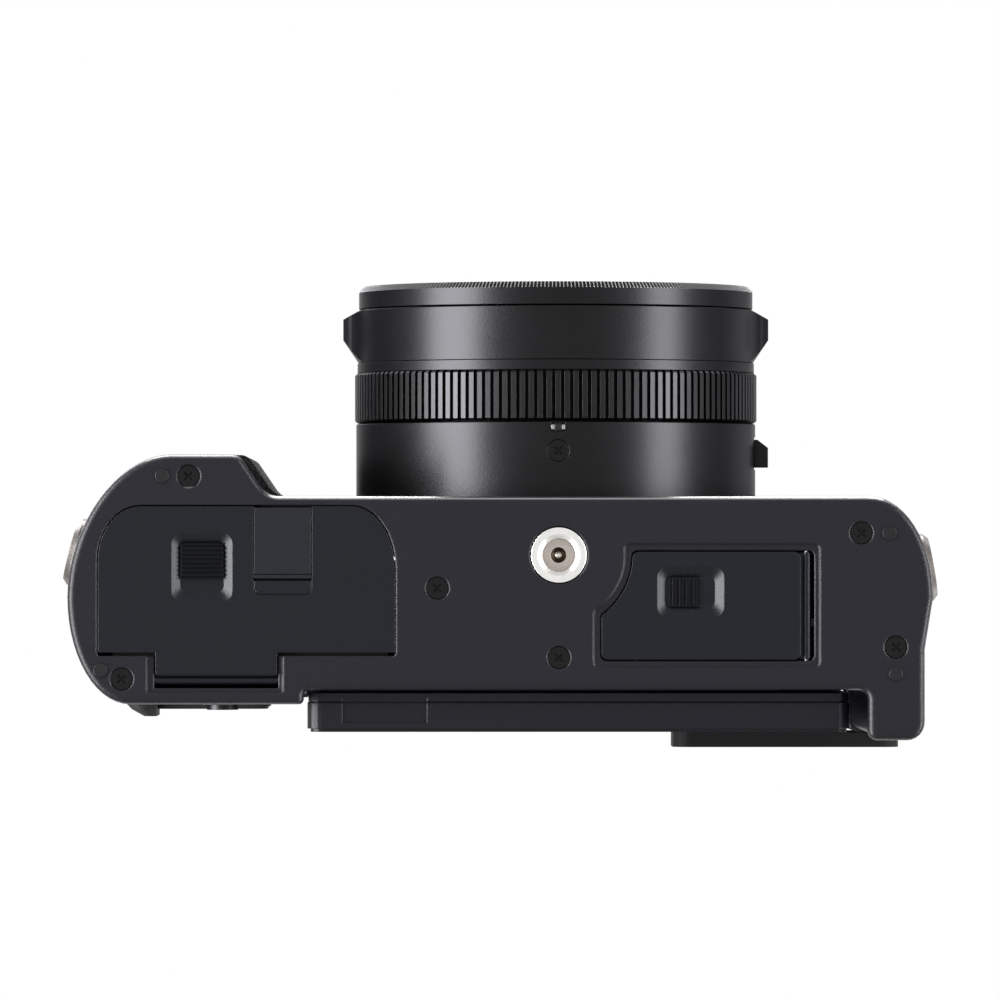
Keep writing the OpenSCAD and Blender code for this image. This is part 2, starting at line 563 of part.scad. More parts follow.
eyecup_t = 2.6;
glass_x = [eyepiece_x[0] + 5.2, eyepiece_x[1] - 9.5];  // seat of the eyepiece's glass
glass_z = [eyepiece_z[0] + 2.1, eyepiece_z[1] - 1.8];
module eyepiece_body(grow, y) {
    cx = (eyepiece_x[0] + eyepiece_x[1]) / 2;
    cz = (eyepiece_z[0] + eyepiece_z[1]) / 2;
    translate([cx, y[1], cz]) rotate([90, 0, 0]) linear_extrude(y[1] - y[0])
        rounded([eyepiece_x[1] - eyepiece_x[0] + 2 * grow, eyepiece_z[1] - eyepiece_z[0] + 2 * grow], 3);
}
module eyepiece_frame() color([0.14, 0.14, 0.15]) translate(home) difference() {
    eyepiece_body(0, [back_y, eyecup_y - eyecup_t]);
    slab([block_x - 0.1, 80], [0, block_y + 0.1], [0, 2 * body_top]);
    slab([block_x - 1.6, 80], [0, back_y + 1.6], [0, 2 * body_top]);
    slab(glass_x + [1, -1], [0, 40], glass_z + [1, -1]);
    slab(glass_x, [eyecup_y - eyecup_t - 2.2, 40], glass_z);
}
module eyepiece_glass() color([0.1, 0.12, 0.14]) translate(home)
    slab(glass_x + [fit, -fit], [eyecup_y - eyecup_t - 2.2, eyecup_y - eyecup_t - 0.9], glass_z + [fit, -fit]);
module eyecup() color([0.08, 0.08, 0.08]) translate(home) difference() {
    eyepiece_body(0, [eyecup_y - eyecup_t, eyecup_y]);
    slab([block_x - 0.1, 80], [0, block_y + 0.1], [0, 2 * body_top]);
    translate([(glass_x[0] + glass_x[1]) / 2, eyecup_y + 0.1, (glass_z[0] + glass_z[1]) / 2])
        rotate([90, 0, 0]) linear_extrude(eyecup_t + 0.2)
            rounded([glass_x[1] - glass_x[0] + 2, glass_z[1] - glass_z[0] + 0.4], 2);
}
diopter_at = [19.6, body_top - 8.5];
module diopter_knob() color([0.12, 0.12, 0.12]) translate(home) {
    rod_x(diopter_at, 3.4, [body_right - 1.3 + 0.15, body_right + 0.2], 48);
    rod_x(diopter_at, 1.2, [window_x[1] + finder_wall + 0.1, body_right - 1]);
}

// ---------------------------------------------------------------- top controls
module shutter_button() color([0.75, 0.75, 0.74]) translate(home) difference() {
    union() {
        rod_z(button_at, 3.6, [body_top - 2.4, body_top + button_h - 0.6], 48);
        translate([button_at[0], button_at[1], body_top + button_h - 0.61])
            cylinder(r1 = 3.6, r2 = 3, h = 0.61, $fn = 48);
        rod_z(button_at, 1.5, [bracket_z[0] - 1, body_top - 2.3]);
    }
    rod_z(button_at, 1.35, [body_top + button_h - 4, body_top + button_h + 1]);
}
module power_lever() color([0.16, 0.16, 0.17]) translate(home) difference() {
    union() {
        rod_z(button_at, 7.8, [body_top + 0.15, body_top + 4.2], 64);
        rod_z(button_at, 4, [body_top - 2, body_top + 1]);
        translate(concat(button_at, body_top + 0.15)) rotate(-118) hull() {
            slab([0, 1], [-2.4, 2.4], [0, 2.6]);
            slab([9.8, 10.8], [-1.2, 1.2], [0, 2.6]);
        }
    }
    rod_z(button_at, 3.6 + fit, [body_top - 4, body_top + 8], 48);
}
module shutter_dial() color([0.15, 0.15, 0.16]) translate(home) {
    rod_z(speed_at, speed_r, [body_top + 0.6, iso_top + iso_lift + 0.7], round_fn);
    rod_z(speed_at, 2, [bracket_z[0] - 0.8, body_top + 0.7]);
}
module iso_sleeve() color([0.5, 0.5, 0.49]) translate(home) difference() {
    rod_z(speed_at, iso_r[1] - 0.3, [bracket_z[1] + 0.15, body_top + 0.35], round_fn);
    rod_z(speed_at, iso_r[0] + 0.3, around(body_top, -13, 7), round_fn);
}
module iso_ring() color([0.15, 0.15, 0.16]) translate(home) difference() {
    rod_z(speed_at, iso_r[1], [body_top + 0.45, iso_top], round_fn);
    rod_z(speed_at, iso_r[0], around(body_top, -13, 7), round_fn);
}
module comp_dial() color([0.15, 0.15, 0.16]) translate(home) {
    rod_z(comp_at, comp_r, [body_top + 0.15, body_top + 4.6], round_fn);
    rod_z(comp_at, 2, [bracket_z[0] - 0.8, body_top + 0.2]);
}
module wheel(at) {
    difference() {
        rod_z(at, wheel_r, wheel_z, 64);
        rod_z(at, 1.2 + fit, around(wheel_z[0], -5, 9));
    }
}
module front_dial() color([0.13, 0.13, 0.14]) translate(home) wheel(front_wheel);
module rear_dial() color([0.13, 0.13, 0.14]) translate(home) wheel(rear_wheel);

// ---------------------------------------------------------------- rear controls
module push_button(i) {
    rod_y(rear_buttons[i], button_r, [thumb_wall - wall - 1.4, thumb_wall + 1], 48);
    rod_y(rear_buttons[i], button_r + 0.7, [thumb_wall - wall - 1.4, thumb_wall - wall - 0.6], 48);
}
module menu_button() color([0.13, 0.13, 0.14]) translate(home) push_button(0);
module play_button() color([0.13, 0.13, 0.14]) translate(home) push_button(1);
module back_button() color([0.13, 0.13, 0.14]) translate(home) push_button(2);

stick_y = thumb_wall - wall - 1.6;   // centre of the stick's gimbal
module stick_gimbal() color([0.55, 0.55, 0.54]) translate(home) difference() {
    union() {
        rod_y(stick_at, 2.3, [stick_y - 0.6, stick_y + 0.6]);
        for (x = [-3.4, 1.9]) rod_x([stick_y, stick_at[1]], 0.4, around(stick_at[0] + x, 0, 1.5));
    }
    rod_y(stick_at, 1.5, [stick_y - 3, stick_y + 3]);
    rod_z([stick_at[0], stick_y], 0.35 + fit, around(stick_at[1], -4, 4));
}
module focus_stick() color([0.13, 0.13, 0.14]) translate(home) {
    rod_y(stick_at, 1, [stick_y - 0.9, thumb_wall + 0.8]);
    rod_y(stick_at, 2.5, [thumb_wall + 0.7, thumb_wall + 2.3], 48);
    rod_z([stick_at[0], stick_y], 0.35, around(stick_at[1], -2.2, 2.2));
}

module port_door() color([0.13, 0.13, 0.14]) translate(home) difference() {
    union() {
        slab([side_wall - 1.2, side_wall - 0.05], [port_y[0], port_pin[1]], port_z);
        rod_z(port_pin, 0.6, port_z);
    }
    rod_z(port_pin, pin_r + fit, [0, 90]);
}
module port_block() color([0.4, 0.4, 0.4]) translate(home) difference() {
    slab([side_wall - 5, side_wall - wall], [port_y[0] + 0.3, port_y[1] - 1.4], [port_z[0] + 1, port_z[1] - 1]);
    for (z = [26, 33.5, 42]) slab([side_wall - 4, side_wall + 1], [port_y[0] + 2.4, port_y[1] - 3.4], [z - 1.4, z + 1.6]);
}

// ---------------------------------------------------------------- inside
box_y = [battery_y[0] + 1.9, battery_y[1] - 2.8];
module battery_box() color([0.3, 0.3, 0.31]) translate(home) difference() {
    union() {
        slab(box_x, box_y, [plate_t + 0.5, box_top]);
        slab([box_x[0] - 1.5, box_x[1] + 2.4], [box_y[0] + 6, box_y[1] + 4.2], [plate_t, plate_t + 1.2]);
    }
    slab([box_x[0] + box_wall, box_x[1] - box_wall], [box_y[0] + box_wall, box_y[1] - box_wall], [0, box_top - box_wall]);
}
module battery() color([0.1, 0.1, 0.12]) translate(home)
    slab(box_x + [1, -1] * (box_wall + box_gap), box_y + [1, -1] * (box_wall + box_gap),
         [plate_t + 0.9, box_top - box_wall]);

frame_y = [9.8, 11];
frame_x = [box_x[1] + 2.7, body_right - 4.7];
module main_frame() color([0.5, 0.5, 0.5]) translate(home) difference() {
    union() {
        slab(frame_x, frame_y, [plate_t, casing_top + 2]);
        slab([-24, 4], [frame_y[0], frame_y[1] + 6.8], [plate_t, plate_t + 1.2]);
    }
    rod_z(screw_places[3], 0.75, [0, 10]);
    slab([-12, 12], [0, 20], [lens_z - 9, lens_z + 9]);
    slab([window_x[0] - 4, body_right + 2], [0, 20], [window_z[0] - 3.2, body_top + 7]);
    for (x = frame_x) slab([x - 6, x + 6], [0, 20], [casing_top - 8, casing_top + 5]);
}
sensor_y = [5.6, 9.8];
module sensor_unit() color([0.25, 0.3, 0.28]) translate(home) {
    slab([-21, 21], [sensor_y[1] - 1.6, sensor_y[1]], [lens_z - 17, lens_z + 17]);
    slab([-17, 17], [sensor_y[0], sensor_y[1] - 1.5], [lens_z - 12, lens_z + 12]);
}
board_y = [14.6, 15.8];     // the grip side's board; the main one lies 1.6 behind it
board_top = casing_top - 4.5;
module main_board() color([0.1, 0.35, 0.2]) translate(home) difference() {
    union() {
        slab([frame_x[0], screen_x[1]], board_y + [1.6, 1.6], [40, board_top]);
        slab([frame_x[0], slot_x[0] - 3.4], board_y + [1.6, 1.6], [6, 40.1]);
        slab(around(stick_at[0], -6, 7), board_y, [rear_buttons[2][1] - 4, board_top - 1.5]);
        slab([stick_at[0] + 6.9, frame_x[0] + 0.1], board_y, [board_top - 7.5, board_top - 1.5]);
        slab([frame_x[0] - 1.2, frame_x[0] + 0.1], [board_y[0], board_y[1] + 1.6], [board_top - 7.5, board_top - 1.5]);
        for (x = [-20, 40]) rod_y([x, board_top - 5.5], 1.5, [frame_y[1], board_y[0] + 1.7]);
        for (p = rear_buttons) rod_y(p, 1.8, [15.7, thumb_wall - wall - 1.4 - 0.55]);
        rod_y(stick_at, 3.8, [15.7, stick_y - 1.4]);
        for (x = [-3, 3]) slab(around(stick_at[0] + x, -0.4, 0.4), [15.7, stick_y + 0.9], around(stick_at[1], -1.2, 1.2));
    }
    rod_x([stick_y, stick_at[1]], 0.4 + fit, [stick_at[0] - 4, stick_at[0] + 4]);
}
module card_slot() color([0.7, 0.7, 0.7]) translate(home) difference() {
    slab(slot_x, slot_y, [plate_t + 0.2, 38]);
    slab([slot_x[0] + 1.3, slot_x[1] - 1.3], [slot_y[0] + 1.3, slot_y[1] - 1.3], [0, 36]);
}
module memory_card() color([0.15, 0.2, 0.45]) translate(home)
    slab([slot_x[0] + 1.45, slot_x[1] - 1.45], [slot_y[0] + 1.45, slot_y[1] - 1.45], [plate_t + 1.2, 36]);

// ---------------------------------------------------------------- lens
body_face = front_y - casing_d;
ring0 = barrel_end + 0.15;            // back of the focus ring
spacer0 = ring0 + focus_w + 0.1;
aperture0 = spacer0 + spacer_w + 0.1;
filter0 = aperture0 + aperture_w + 0.1;
lever_slot = [13.5, 18.7];            // the lever's slot along the barrel
glass_r = filter_r - 4.8;             // seat of the front glass
module lens_barrel() color([0.12, 0.12, 0.13]) translate(home) difference() {
    union() {
        turned([[tail_r - 1.5, body_face], [barrel_r - 0.25, body_face], [barrel_r, body_face + 0.25],
                [barrel_r, barrel_end - 0.2], [barrel_r - 0.2, barrel_end], [tube_r, barrel_end],
                [tube_r, filter0], [tube_r - 1.8, filter0], [tube_r - 1.8, body_face + 2],
                [tail_r - 1.5, body_face + 2]]);
        ring(tail_r - 1.5, tail_r, 1.5, body_face + 0.1);
    }
    lever_channel(-8, 34, barrel_r - 1.4, barrel_r + 1);
    translate([0, -16.2, lens_z - barrel_r - 1]) cylinder(r = screw_r + 0.1, h = 1.8, $fn = small_fn);
    translate([0, -16.2, lens_z - barrel_r - 1]) cylinder(r = 0.75, h = 4, $fn = small_fn);
    slab([-1.15, 1.15], [-barrel_end - 0.2, -19.2], [0, lens_z - barrel_r + 0.7]);
}
// part of a ring in the barrel's slot, from angle a0 to a1 above the +X side
module lever_channel(a0, a1, r0, r1, slack = 0) {
    translate([0, -lever_slot[0] - slack, lens_z]) rotate([90, 0, 0]) rotate(a0)
        sector(a1 - a0, r0, r1, lever_slot[1] - lever_slot[0] - 2 * slack);
}
module sector(a, r0, r1, h) {
    rotate_extrude(angle = a, $fn = 180) translate([r0, 0]) square([r1 - r0, h]);
}
module focus_lever() color([0.14, 0.14, 0.15]) translate(home) {
    lever_channel(-6, 6, barrel_r - 1.35, barrel_r - 0.3, 0.2);
    difference() {
        lever_channel(-4, 4, barrel_r - 1.3, barrel_r + 2.03, 0.4);
        translate([barrel_r + 0.3, -lever_slot[1] + 0.4, lens_z - 6]) rotate(-52) cube([5, 5, 12]);
    }
}
module barrel_screw() color([0.1, 0.1, 0.11]) translate(home)
    translate([0, -16.2, lens_z - barrel_r + 0.02]) cross_screw(screw_r - 0.05, 0.7, 2.6);

module focus_ring() color([0.1, 0.1, 0.11]) translate(home)
    turned([[tube_r + fit, ring0], [focus_r - 0.3, ring0], [focus_r, ring0 + 0.3],
            [focus_r, ring0 + focus_w - 0.3], [focus_r - 0.3, ring0 + focus_w], [tube_r + fit, ring0 + focus_w]]);
module spacer_ring() color([0.12, 0.12, 0.13]) translate(home)
    ring(tube_r, spacer_r, spacer0, spacer0 + spacer_w);
module aperture_ring() color([0.12, 0.12, 0.13]) translate(home) {
    turned([[tube_r + fit, aperture0], [aperture_r, aperture0], [aperture_r, aperture0 + aperture_w - 0.2],
            [aperture_r - 0.2, aperture0 + aperture_w], [tube_r + fit, aperture0 + aperture_w]]);
    // the finger tabs grow out of the ring in a hollow curve and slope off to front and back
    intersection() {
        turned([[aperture_r - 0.5, aperture0], [aperture_r, aperture0], [tab_r, aperture0 + 3.64],
                [tab_r, aperture0 + 6.9], [aperture_r, aperture0 + aperture_w - 0.1],
                [aperture_r - 0.5, aperture0 + aperture_w - 0.1]]);
        translate([0, -aperture0, lens_z]) rotate([90, 0, 0])
            linear_extrude(aperture_w) for (side = [0, 180]) rotate(side)
                polygon(concat(tab_curve, [for (i = [len(tab_curve) - 1:-1:0]) [tab_curve[i][0], -tab_curve[i][1]]]));
    }
}
// lower half of a tab's section: the hollow curve leaves the ring's surface smoothly
tab_foot_a = 15.8;
tab_foot = aperture_r * [cos(tab_foot_a), -sin(tab_foot_a)];
tab_bend = tab_foot + 4.47 * [sin(tab_foot_a), cos(tab_foot_a)];
tab_edge = [tab_r - 0.88, -3];
tab_curve = concat([tab_foot - [0.6, 0]],
    [for (i = [0:6]) let (t = i / 6) pow(1 - t, 2) * tab_foot + 2 * t * (1 - t) * tab_bend + t * t * tab_edge],
    [[tab_r + 0.05, -1.8]]);
module filter_ring() color([0.12, 0.12, 0.13]) translate(home)
    turned([[tube_r - 1.9, filter0 - 2.4], [tube_r - 1.9, filter0 + 0.05], [front_ring_r, filter0 + 0.05],
            [front_ring_r, lens_front - 0.9], [front_ring_r - 0.93, lens_front], [filter_r, lens_front],
            [filter_r, filter0 + 0.5], [glass_r, filter0 - 0.2], [glass_r, filter0 - 2.4]]);
module front_glass() color([0.15, 0.2, 0.25]) translate(home)
    turned([[0, filter0 - 2.3], [glass_r - fit, filter0 - 2.3], [glass_r - fit, filter0 - 1.2],
            [glass_r - 6.6, filter0 - 0.5], [glass_r - 12.6, filter0 - 0.1], [0, filter0]]);
module iris_blades() color([0.2, 0.2, 0.2]) translate(home) {
    ring(6, tube_r - 1.85, 24, 24.4, 64);
    ring(tube_r - 7.4, tube_r - 1.85, 24.3, 26, 64);
}
cell_r = tail_r - 9;                  // bore of the focusing cell
module focus_cell() color([0.22, 0.22, 0.22]) translate(home)
    turned([[cell_r, 2.5], [tail_r - 1.5 - fit, 2.5], [tail_r - 1.5 - fit, 9], [tail_r - 3, 9],
            [tail_r - 3, 17], [cell_r, 17]]);
module rear_glass() color([0.15, 0.2, 0.25]) translate(home)
    turned([[0, 4.2], [cell_r - fit, 3.4], [cell_r - fit, 7], [0, 8.4]]);

// ---------------------------------------------------------------- screen
tilt_pin = [back_y + 1.1, screen_z[1] - 0.8];  // upper hinge axis: Y and Z
screen_y = [back_y + 0.5, back_y + 0.5 + screen_t];
ear_w = 2;
module screen_arm() color([0.22, 0.22, 0.23]) translate(home) difference() {
    union() {
        slab(arm_x, [arm_pin[0] - 0.5, arm_pin[0] + 0.55], [arm_pin[1], screen_z[1] - 0.9]);
        rod_x(arm_pin, 0.6, arm_x);
        for (x = [arm_x[0], arm_x[1] - ear_w]) {
            rod_x(tilt_pin, 0.65, [x, x + ear_w]);
            slab([x, x + ear_w], [arm_pin[0], tilt_pin[0]], [tilt_pin[1] - 0.6, tilt_pin[1] + 0.2]);
            rod_x(tilt_pin, pin_r, [x - 1, x + ear_w + 1]);
        }
    }
    rod_x(arm_pin, pin_r + fit, [arm_x[0] - 1, arm_x[1] + 1]);
}
split_screen = screen_y[0] + 1.4;   // the parting line round the screen's edge
screen_bezel = 3.4;
module screen_body(y, cut) {
    translate([(screen_x[0] + screen_x[1]) / 2, y[1], (screen_z[0] + screen_z[1]) / 2]) rotate([90, 0, 0])
        linear_extrude(y[1] - y[0])
            rounded([screen_x[1] - screen_x[0] - 2 * cut, screen_z[1] - screen_z[0] - 2 * cut], 2.2 - cut);
}
module screen_frame() color([0.15, 0.15, 0.16]) translate(home) difference() {
    union() {
        screen_body([screen_y[0], split_screen - 0.12], 0.15);
        screen_body([split_screen - 0.13, split_screen + 0.13], 0.5);
        screen_body([split_screen + 0.12, screen_y[1] - 0.5], 0);
        screen_body([screen_y[1] - 0.51, screen_y[1]], 0.5);
    }
    for (x = [arm_x[0], arm_x[1] - ear_w])
        slab([x - 0.2, x + ear_w + 0.2], [0, tilt_pin[0] + 0.95], [tilt_pin[1] - 0.95, 90]);
    for (x = [arm_x[0], arm_x[1] - ear_w]) rod_x(tilt_pin, pin_r + fit, [x - 1.1, x + ear_w + 1.1]);
    screen_body([screen_y[1] - 0.9, screen_y[1] + 1], screen_bezel - 2.2 + 0.9);
    slab(around(screen_x[0], 5.4, 18.5), [screen_y[0] + 0.8, screen_y[1] - 1.4],
         [screen_z[0] - 1, screen_z[0] + 0.3]);
}
module screen_glass() color([0.03, 0.03, 0.04]) translate(home)
    screen_body([screen_y[1] - 0.9, screen_y[1] - 0.12], screen_bezel - 2.2 + 0.95);

// ---------------------------------------------------------------- strap lugs
module lug(place, side) {
    translate([place[1][0], place[1][1], lug_z]) rotate([0, 0, side > 0 ? -place[0] : 180 + place[0]])
        rotate([0, 90, 0]) difference() {
            union() {
                translate([0, 0, -wall - 1]) cylinder(r = 2, h = wall + 2, $fn = small_fn);
                translate([0, 0, 0.1]) cylinder(r = lug_face_r, h = 1, $fn = 64);
                translate([0, 0, 0.7]) cylinder(r = lug_r, h = lug_reach - 1.5, $fn = 64);
                translate([0, 0, lug_reach - 0.81]) cylinder(r1 = lug_r, r2 = lug_face_r, h = 0.81, $fn = 64);
            }
            translate([-20, -2.6, 0.9]) cube([40, 5.2, 1.5]);
        }
}
module strap_lugs() color([0.72, 0.68, 0.6]) translate(home) {
    lug(lug_left, -1);
    lug(lug_right, 1);
}

bottom_plate();
plate_feet();
bottom_screws();
tripod_socket();
front_casing();
rear_casing();
grip_cover();
top_plate();
main_frame();
battery_box();
battery();
card_slot();
memory_card();
main_board();
sensor_unit();
lens_barrel();
barrel_screw();
spacer_ring();
filter_ring();
front_glass();
iris_blades();
hot_shoe();
top_bracket();
finder_tube();
finder_window();
eyepiece_frame();
eyepiece_glass();
eyecup();
strap_lugs();
port_block();
hinge_pins();
thumb_rest();
focus_ring();
aperture_ring();
focus_lever();
focus_cell();
rear_glass();
battery_door();
battery_latch();
cable_flap();
card_door();
card_latch();
screen_arm();
screen_frame();
screen_glass();
shutter_button();
power_lever();
shutter_dial();
iso_sleeve();
iso_ring();
comp_dial();
front_dial();
rear_dial();
stick_gimbal();
focus_stick();
menu_button();
play_button();
back_button();
diopter_knob();
port_door();
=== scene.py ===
"""Fixed-lens digital camera, rangefinder style: finishes, fine detail, light and view."""

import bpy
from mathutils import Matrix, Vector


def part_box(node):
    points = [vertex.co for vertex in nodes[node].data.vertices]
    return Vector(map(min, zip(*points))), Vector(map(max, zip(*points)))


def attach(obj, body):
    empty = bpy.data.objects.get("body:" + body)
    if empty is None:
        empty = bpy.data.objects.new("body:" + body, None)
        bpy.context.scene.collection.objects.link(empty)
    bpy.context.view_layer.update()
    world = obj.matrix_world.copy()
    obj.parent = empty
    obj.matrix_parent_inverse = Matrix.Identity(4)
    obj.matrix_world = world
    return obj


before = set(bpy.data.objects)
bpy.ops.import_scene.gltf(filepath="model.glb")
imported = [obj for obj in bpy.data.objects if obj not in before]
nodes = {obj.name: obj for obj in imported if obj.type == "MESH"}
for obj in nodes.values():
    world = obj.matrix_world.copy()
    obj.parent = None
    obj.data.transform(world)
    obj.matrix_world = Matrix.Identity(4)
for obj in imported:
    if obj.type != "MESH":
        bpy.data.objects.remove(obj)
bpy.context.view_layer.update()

import math
import bmesh
import bpy
from mathutils import Matrix, Vector

MM = 0.001

# ------------------------------------------------------------------ bottom plate
# The bottom plate is cast magnesium, sprayed matte black with a fine grain. Six small screws
# hold it, and four feet, a steel tripod thread and two door hinges sit in it.
socket_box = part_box("tripod_socket")
plate_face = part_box("bottom_plate")[0].z
tripod_axis = (socket_box[0] + socket_box[1]) / 2


def at(x, y, z):
    """A place in metres, from millimetres to the right of, behind and above the tripod thread."""
    return Vector((tripod_axis.x + x * MM, tripod_axis.y + y * MM, plate_face + z * MM))


class Amount:
    """A number at a socket of a finish's node tree, which can be calculated with."""

    def __init__(self, finish, socket):
        self.finish, self.socket = finish, socket

    def _calc(self, operation, *numbers):
        return self.finish.node("ShaderNodeMath", {"operation": operation},
                                dict(enumerate(numbers)))

    def __add__(self, other):
        return self._calc("ADD", self, other)

    __radd__ = __add__

    def __sub__(self, other):
        return self._calc("SUBTRACT", self, other)

    def __rsub__(self, other):
        return self._calc("SUBTRACT", other, self)

    def __mul__(self, other):
        return self._calc("MULTIPLY", self, other)

    def __truediv__(self, other):
        return self._calc("DIVIDE", self, other)

    def __pow__(self, other):
        return self._calc("POWER", self, other)

    def kept(self, low, high):
        """The number held between low and high."""
        return self._calc("MAXIMUM", self._calc("MINIMUM", self, high), low)


class Finish:
    """A material and its node tree. Keywords set the shader's sockets, with _ for a space."""

    def __init__(self, name, **shader):
        self.material = bpy.data.materials.new(name)
        self.material.use_nodes = True
        self.tree = self.material.node_tree
        self.shader = self.tree.nodes["Principled BSDF"]
        self.place = self.node("ShaderNodeTexCoord", output="Object")
        self.set(**shader)

    def join(self, socket, value):
        """Links an amount to a socket, or sets a plain value on it."""
        if isinstance(value, Amount):
            self.tree.links.new(value.socket, socket)
        else:
            socket.default_value = value

    def node(self, kind, settings=None, sockets=None, output=0):
        """A new node with its settings and sockets filled in, as the amount it puts out."""
        made = self.tree.nodes.new(kind)
        for key, value in (settings or {}).items():
            setattr(made, key, value)
        for key, value in (sockets or {}).items():
            self.join(made.inputs[key], value)
        return Amount(self, made.outputs[output])

    def set(self, **shader):
        """Fills the shader's sockets."""
        for key, value in shader.items():
            self.join(self.shader.inputs[key.replace("_", " ")], value)

    def noise(self, size_mm, detail=2.0, stretch=(1, 1, 1)):
        """Noise from 0 to 1 with features of that size."""
        spread = self.node("ShaderNodeMapping", {}, {"Vector": self.place, "Scale": stretch})
        return self.node("ShaderNodeTexNoise", {}, {
            "Vector": spread, "Scale": 1 / (size_mm * MM), "Detail": detail, "Roughness": 0.55})

    def cells(self, size_mm, feature="F1"):
        """Distance in Voronoi cells of that size: from the middle, or from the edge."""
        return self.node("ShaderNodeTexVoronoi", {"feature": feature},
                         {"Vector": self.place, "Scale": 1 / (size_mm * MM)}, "Distance")

    def mix(self, share, one, other):
        """A colour between two, by share."""
        made = self.tree.nodes.new("ShaderNodeMix")
        made.data_type = "RGBA"
        self.join(made.inputs["Factor"], share)
        self.join(made.inputs[6], one)
        self.join(made.inputs[7], other)
        return Amount(self, made.outputs[2])

    def edges(self, radius_mm):
        """(softened normal, mask that is 1 at sharp edges)."""
        soft = self.node("ShaderNodeBevel", {"samples": 6}, {"Radius": radius_mm * MM})
        face = self.node("ShaderNodeNewGeometry", {}, {}, "Normal")
        along = self.node("ShaderNodeVectorMath", {"operation": "DOT_PRODUCT"},
                          {0: soft, 1: face}, "Value")
        return soft, ((1 - along) * 5).kept(0, 1)

    def part(self, vector, way):
        """One of a vector's parts: X, Y or Z."""
        return self.node("ShaderNodeSeparateXYZ", {}, {"Vector": vector}, way)

    def relief(self, height, depth_mm, normal=None):
        """A bumped normal: height from 0 to 1 stands for that depth."""
        sockets = {"Height": height, "Distance": depth_mm * MM, "Strength": 1.0}
        if normal is not None:
            sockets["Normal"] = normal
        return self.node("ShaderNodeBump", {}, sockets)


def shaded(colour, share):
    """A colour times a share, or times a share for each of red, green and blue."""
    shares = share if isinstance(share, tuple) else (share,) * 3
    return tuple(c * part for c, part in zip(colour, shares)) + (1,)


def painted(name, colour, edge_wear_and_highlight, roughness, grain_mm, grain_depth_mm, edge_mm=0.18, level=0.2,
            rubbed=None):
    """Sprayed or moulded black: a fine grain, faint clouds of tone, and edges painted lighter,
    partly as wear and partly as a painted highlight.
    In front of the plane y = rubbed, in metres, the lower edge's rounding is polished by
    handling, and less so on the grip, which starts grip_mm further on."""
    finish = Finish(name, Specular_IOR_Level=level, Coat_Roughness=0.16, Coat_IOR=4.0)
    grain = finish.noise(grain_mm)
    cloud = finish.noise(9.0, 3.0)
    soft, edge = finish.edges(edge_mm)
    body = finish.mix(cloud * 0.5 + grain * 0.5, colour, shaded(colour, 1.35))
    if rubbed is not None:
        aside, ahead, up = (finish.part(soft, way) for way in "XYZ")
        slanted_down = ((up + 0.9) * 12).kept(0, 1) * ((-0.05 - up) * 6).kept(0, 1)
        facing_front = (1.05 - aside * aside * 9).kept(0, 1) * (ahead * -4).kept(0, 1)
        before_mm = (rubbed - finish.part(finish.place, "Y")) / MM
        grip_mm, grip_loss = 2, 0.6
        handled = before_mm.kept(0, 1) - (before_mm - grip_mm).kept(0, 1) * grip_loss
        finish.set(Coat_Weight=slanted_down * facing_front * handled)
    # The edges are painted towards the lighter edge colour: part wear, part painted highlight.
    finish.set(Base_Color=finish.mix(edge * (0.1 + cloud * 0.4), body, edge_wear_and_highlight),
               Roughness=roughness + grain * 0.14 - edge * 0.1,
               Normal=finish.relief(grain, grain_depth_mm, soft))
    return finish.material


def dress(material, *names):
    """Gives CAD nodes their finish."""
    for name in names:
        mesh = nodes[name].data
        mesh.materials.clear()
        mesh.materials.append(material)


plate_black = painted("plate_black", (0.0092, 0.0081, 0.0139, 1), (0.03, 0.03, 0.033, 1),
                      roughness=0.3, grain_mm=0.32, grain_depth_mm=0.026, edge_mm=0.5,
                      rubbed=at(0, -7.8, 0).y)
dress(plate_black, "bottom_plate")
foot_black = painted("foot_black", (0.006, 0.006, 0.0075, 1), (0.06, 0.06, 0.06, 1),
                     roughness=0.36, grain_mm=0.2, grain_depth_mm=0.008)
dress(foot_black, "plate_feet")
screw_black = painted("screw_black", (0.003, 0.003, 0.0036, 1), (0.03, 0.03, 0.033, 1),
                      roughness=0.26, grain_mm=0.3, grain_depth_mm=0.004, edge_mm=0.07,
                      level=0.16)
dress(screw_black, "bottom_screws", "barrel_screw")

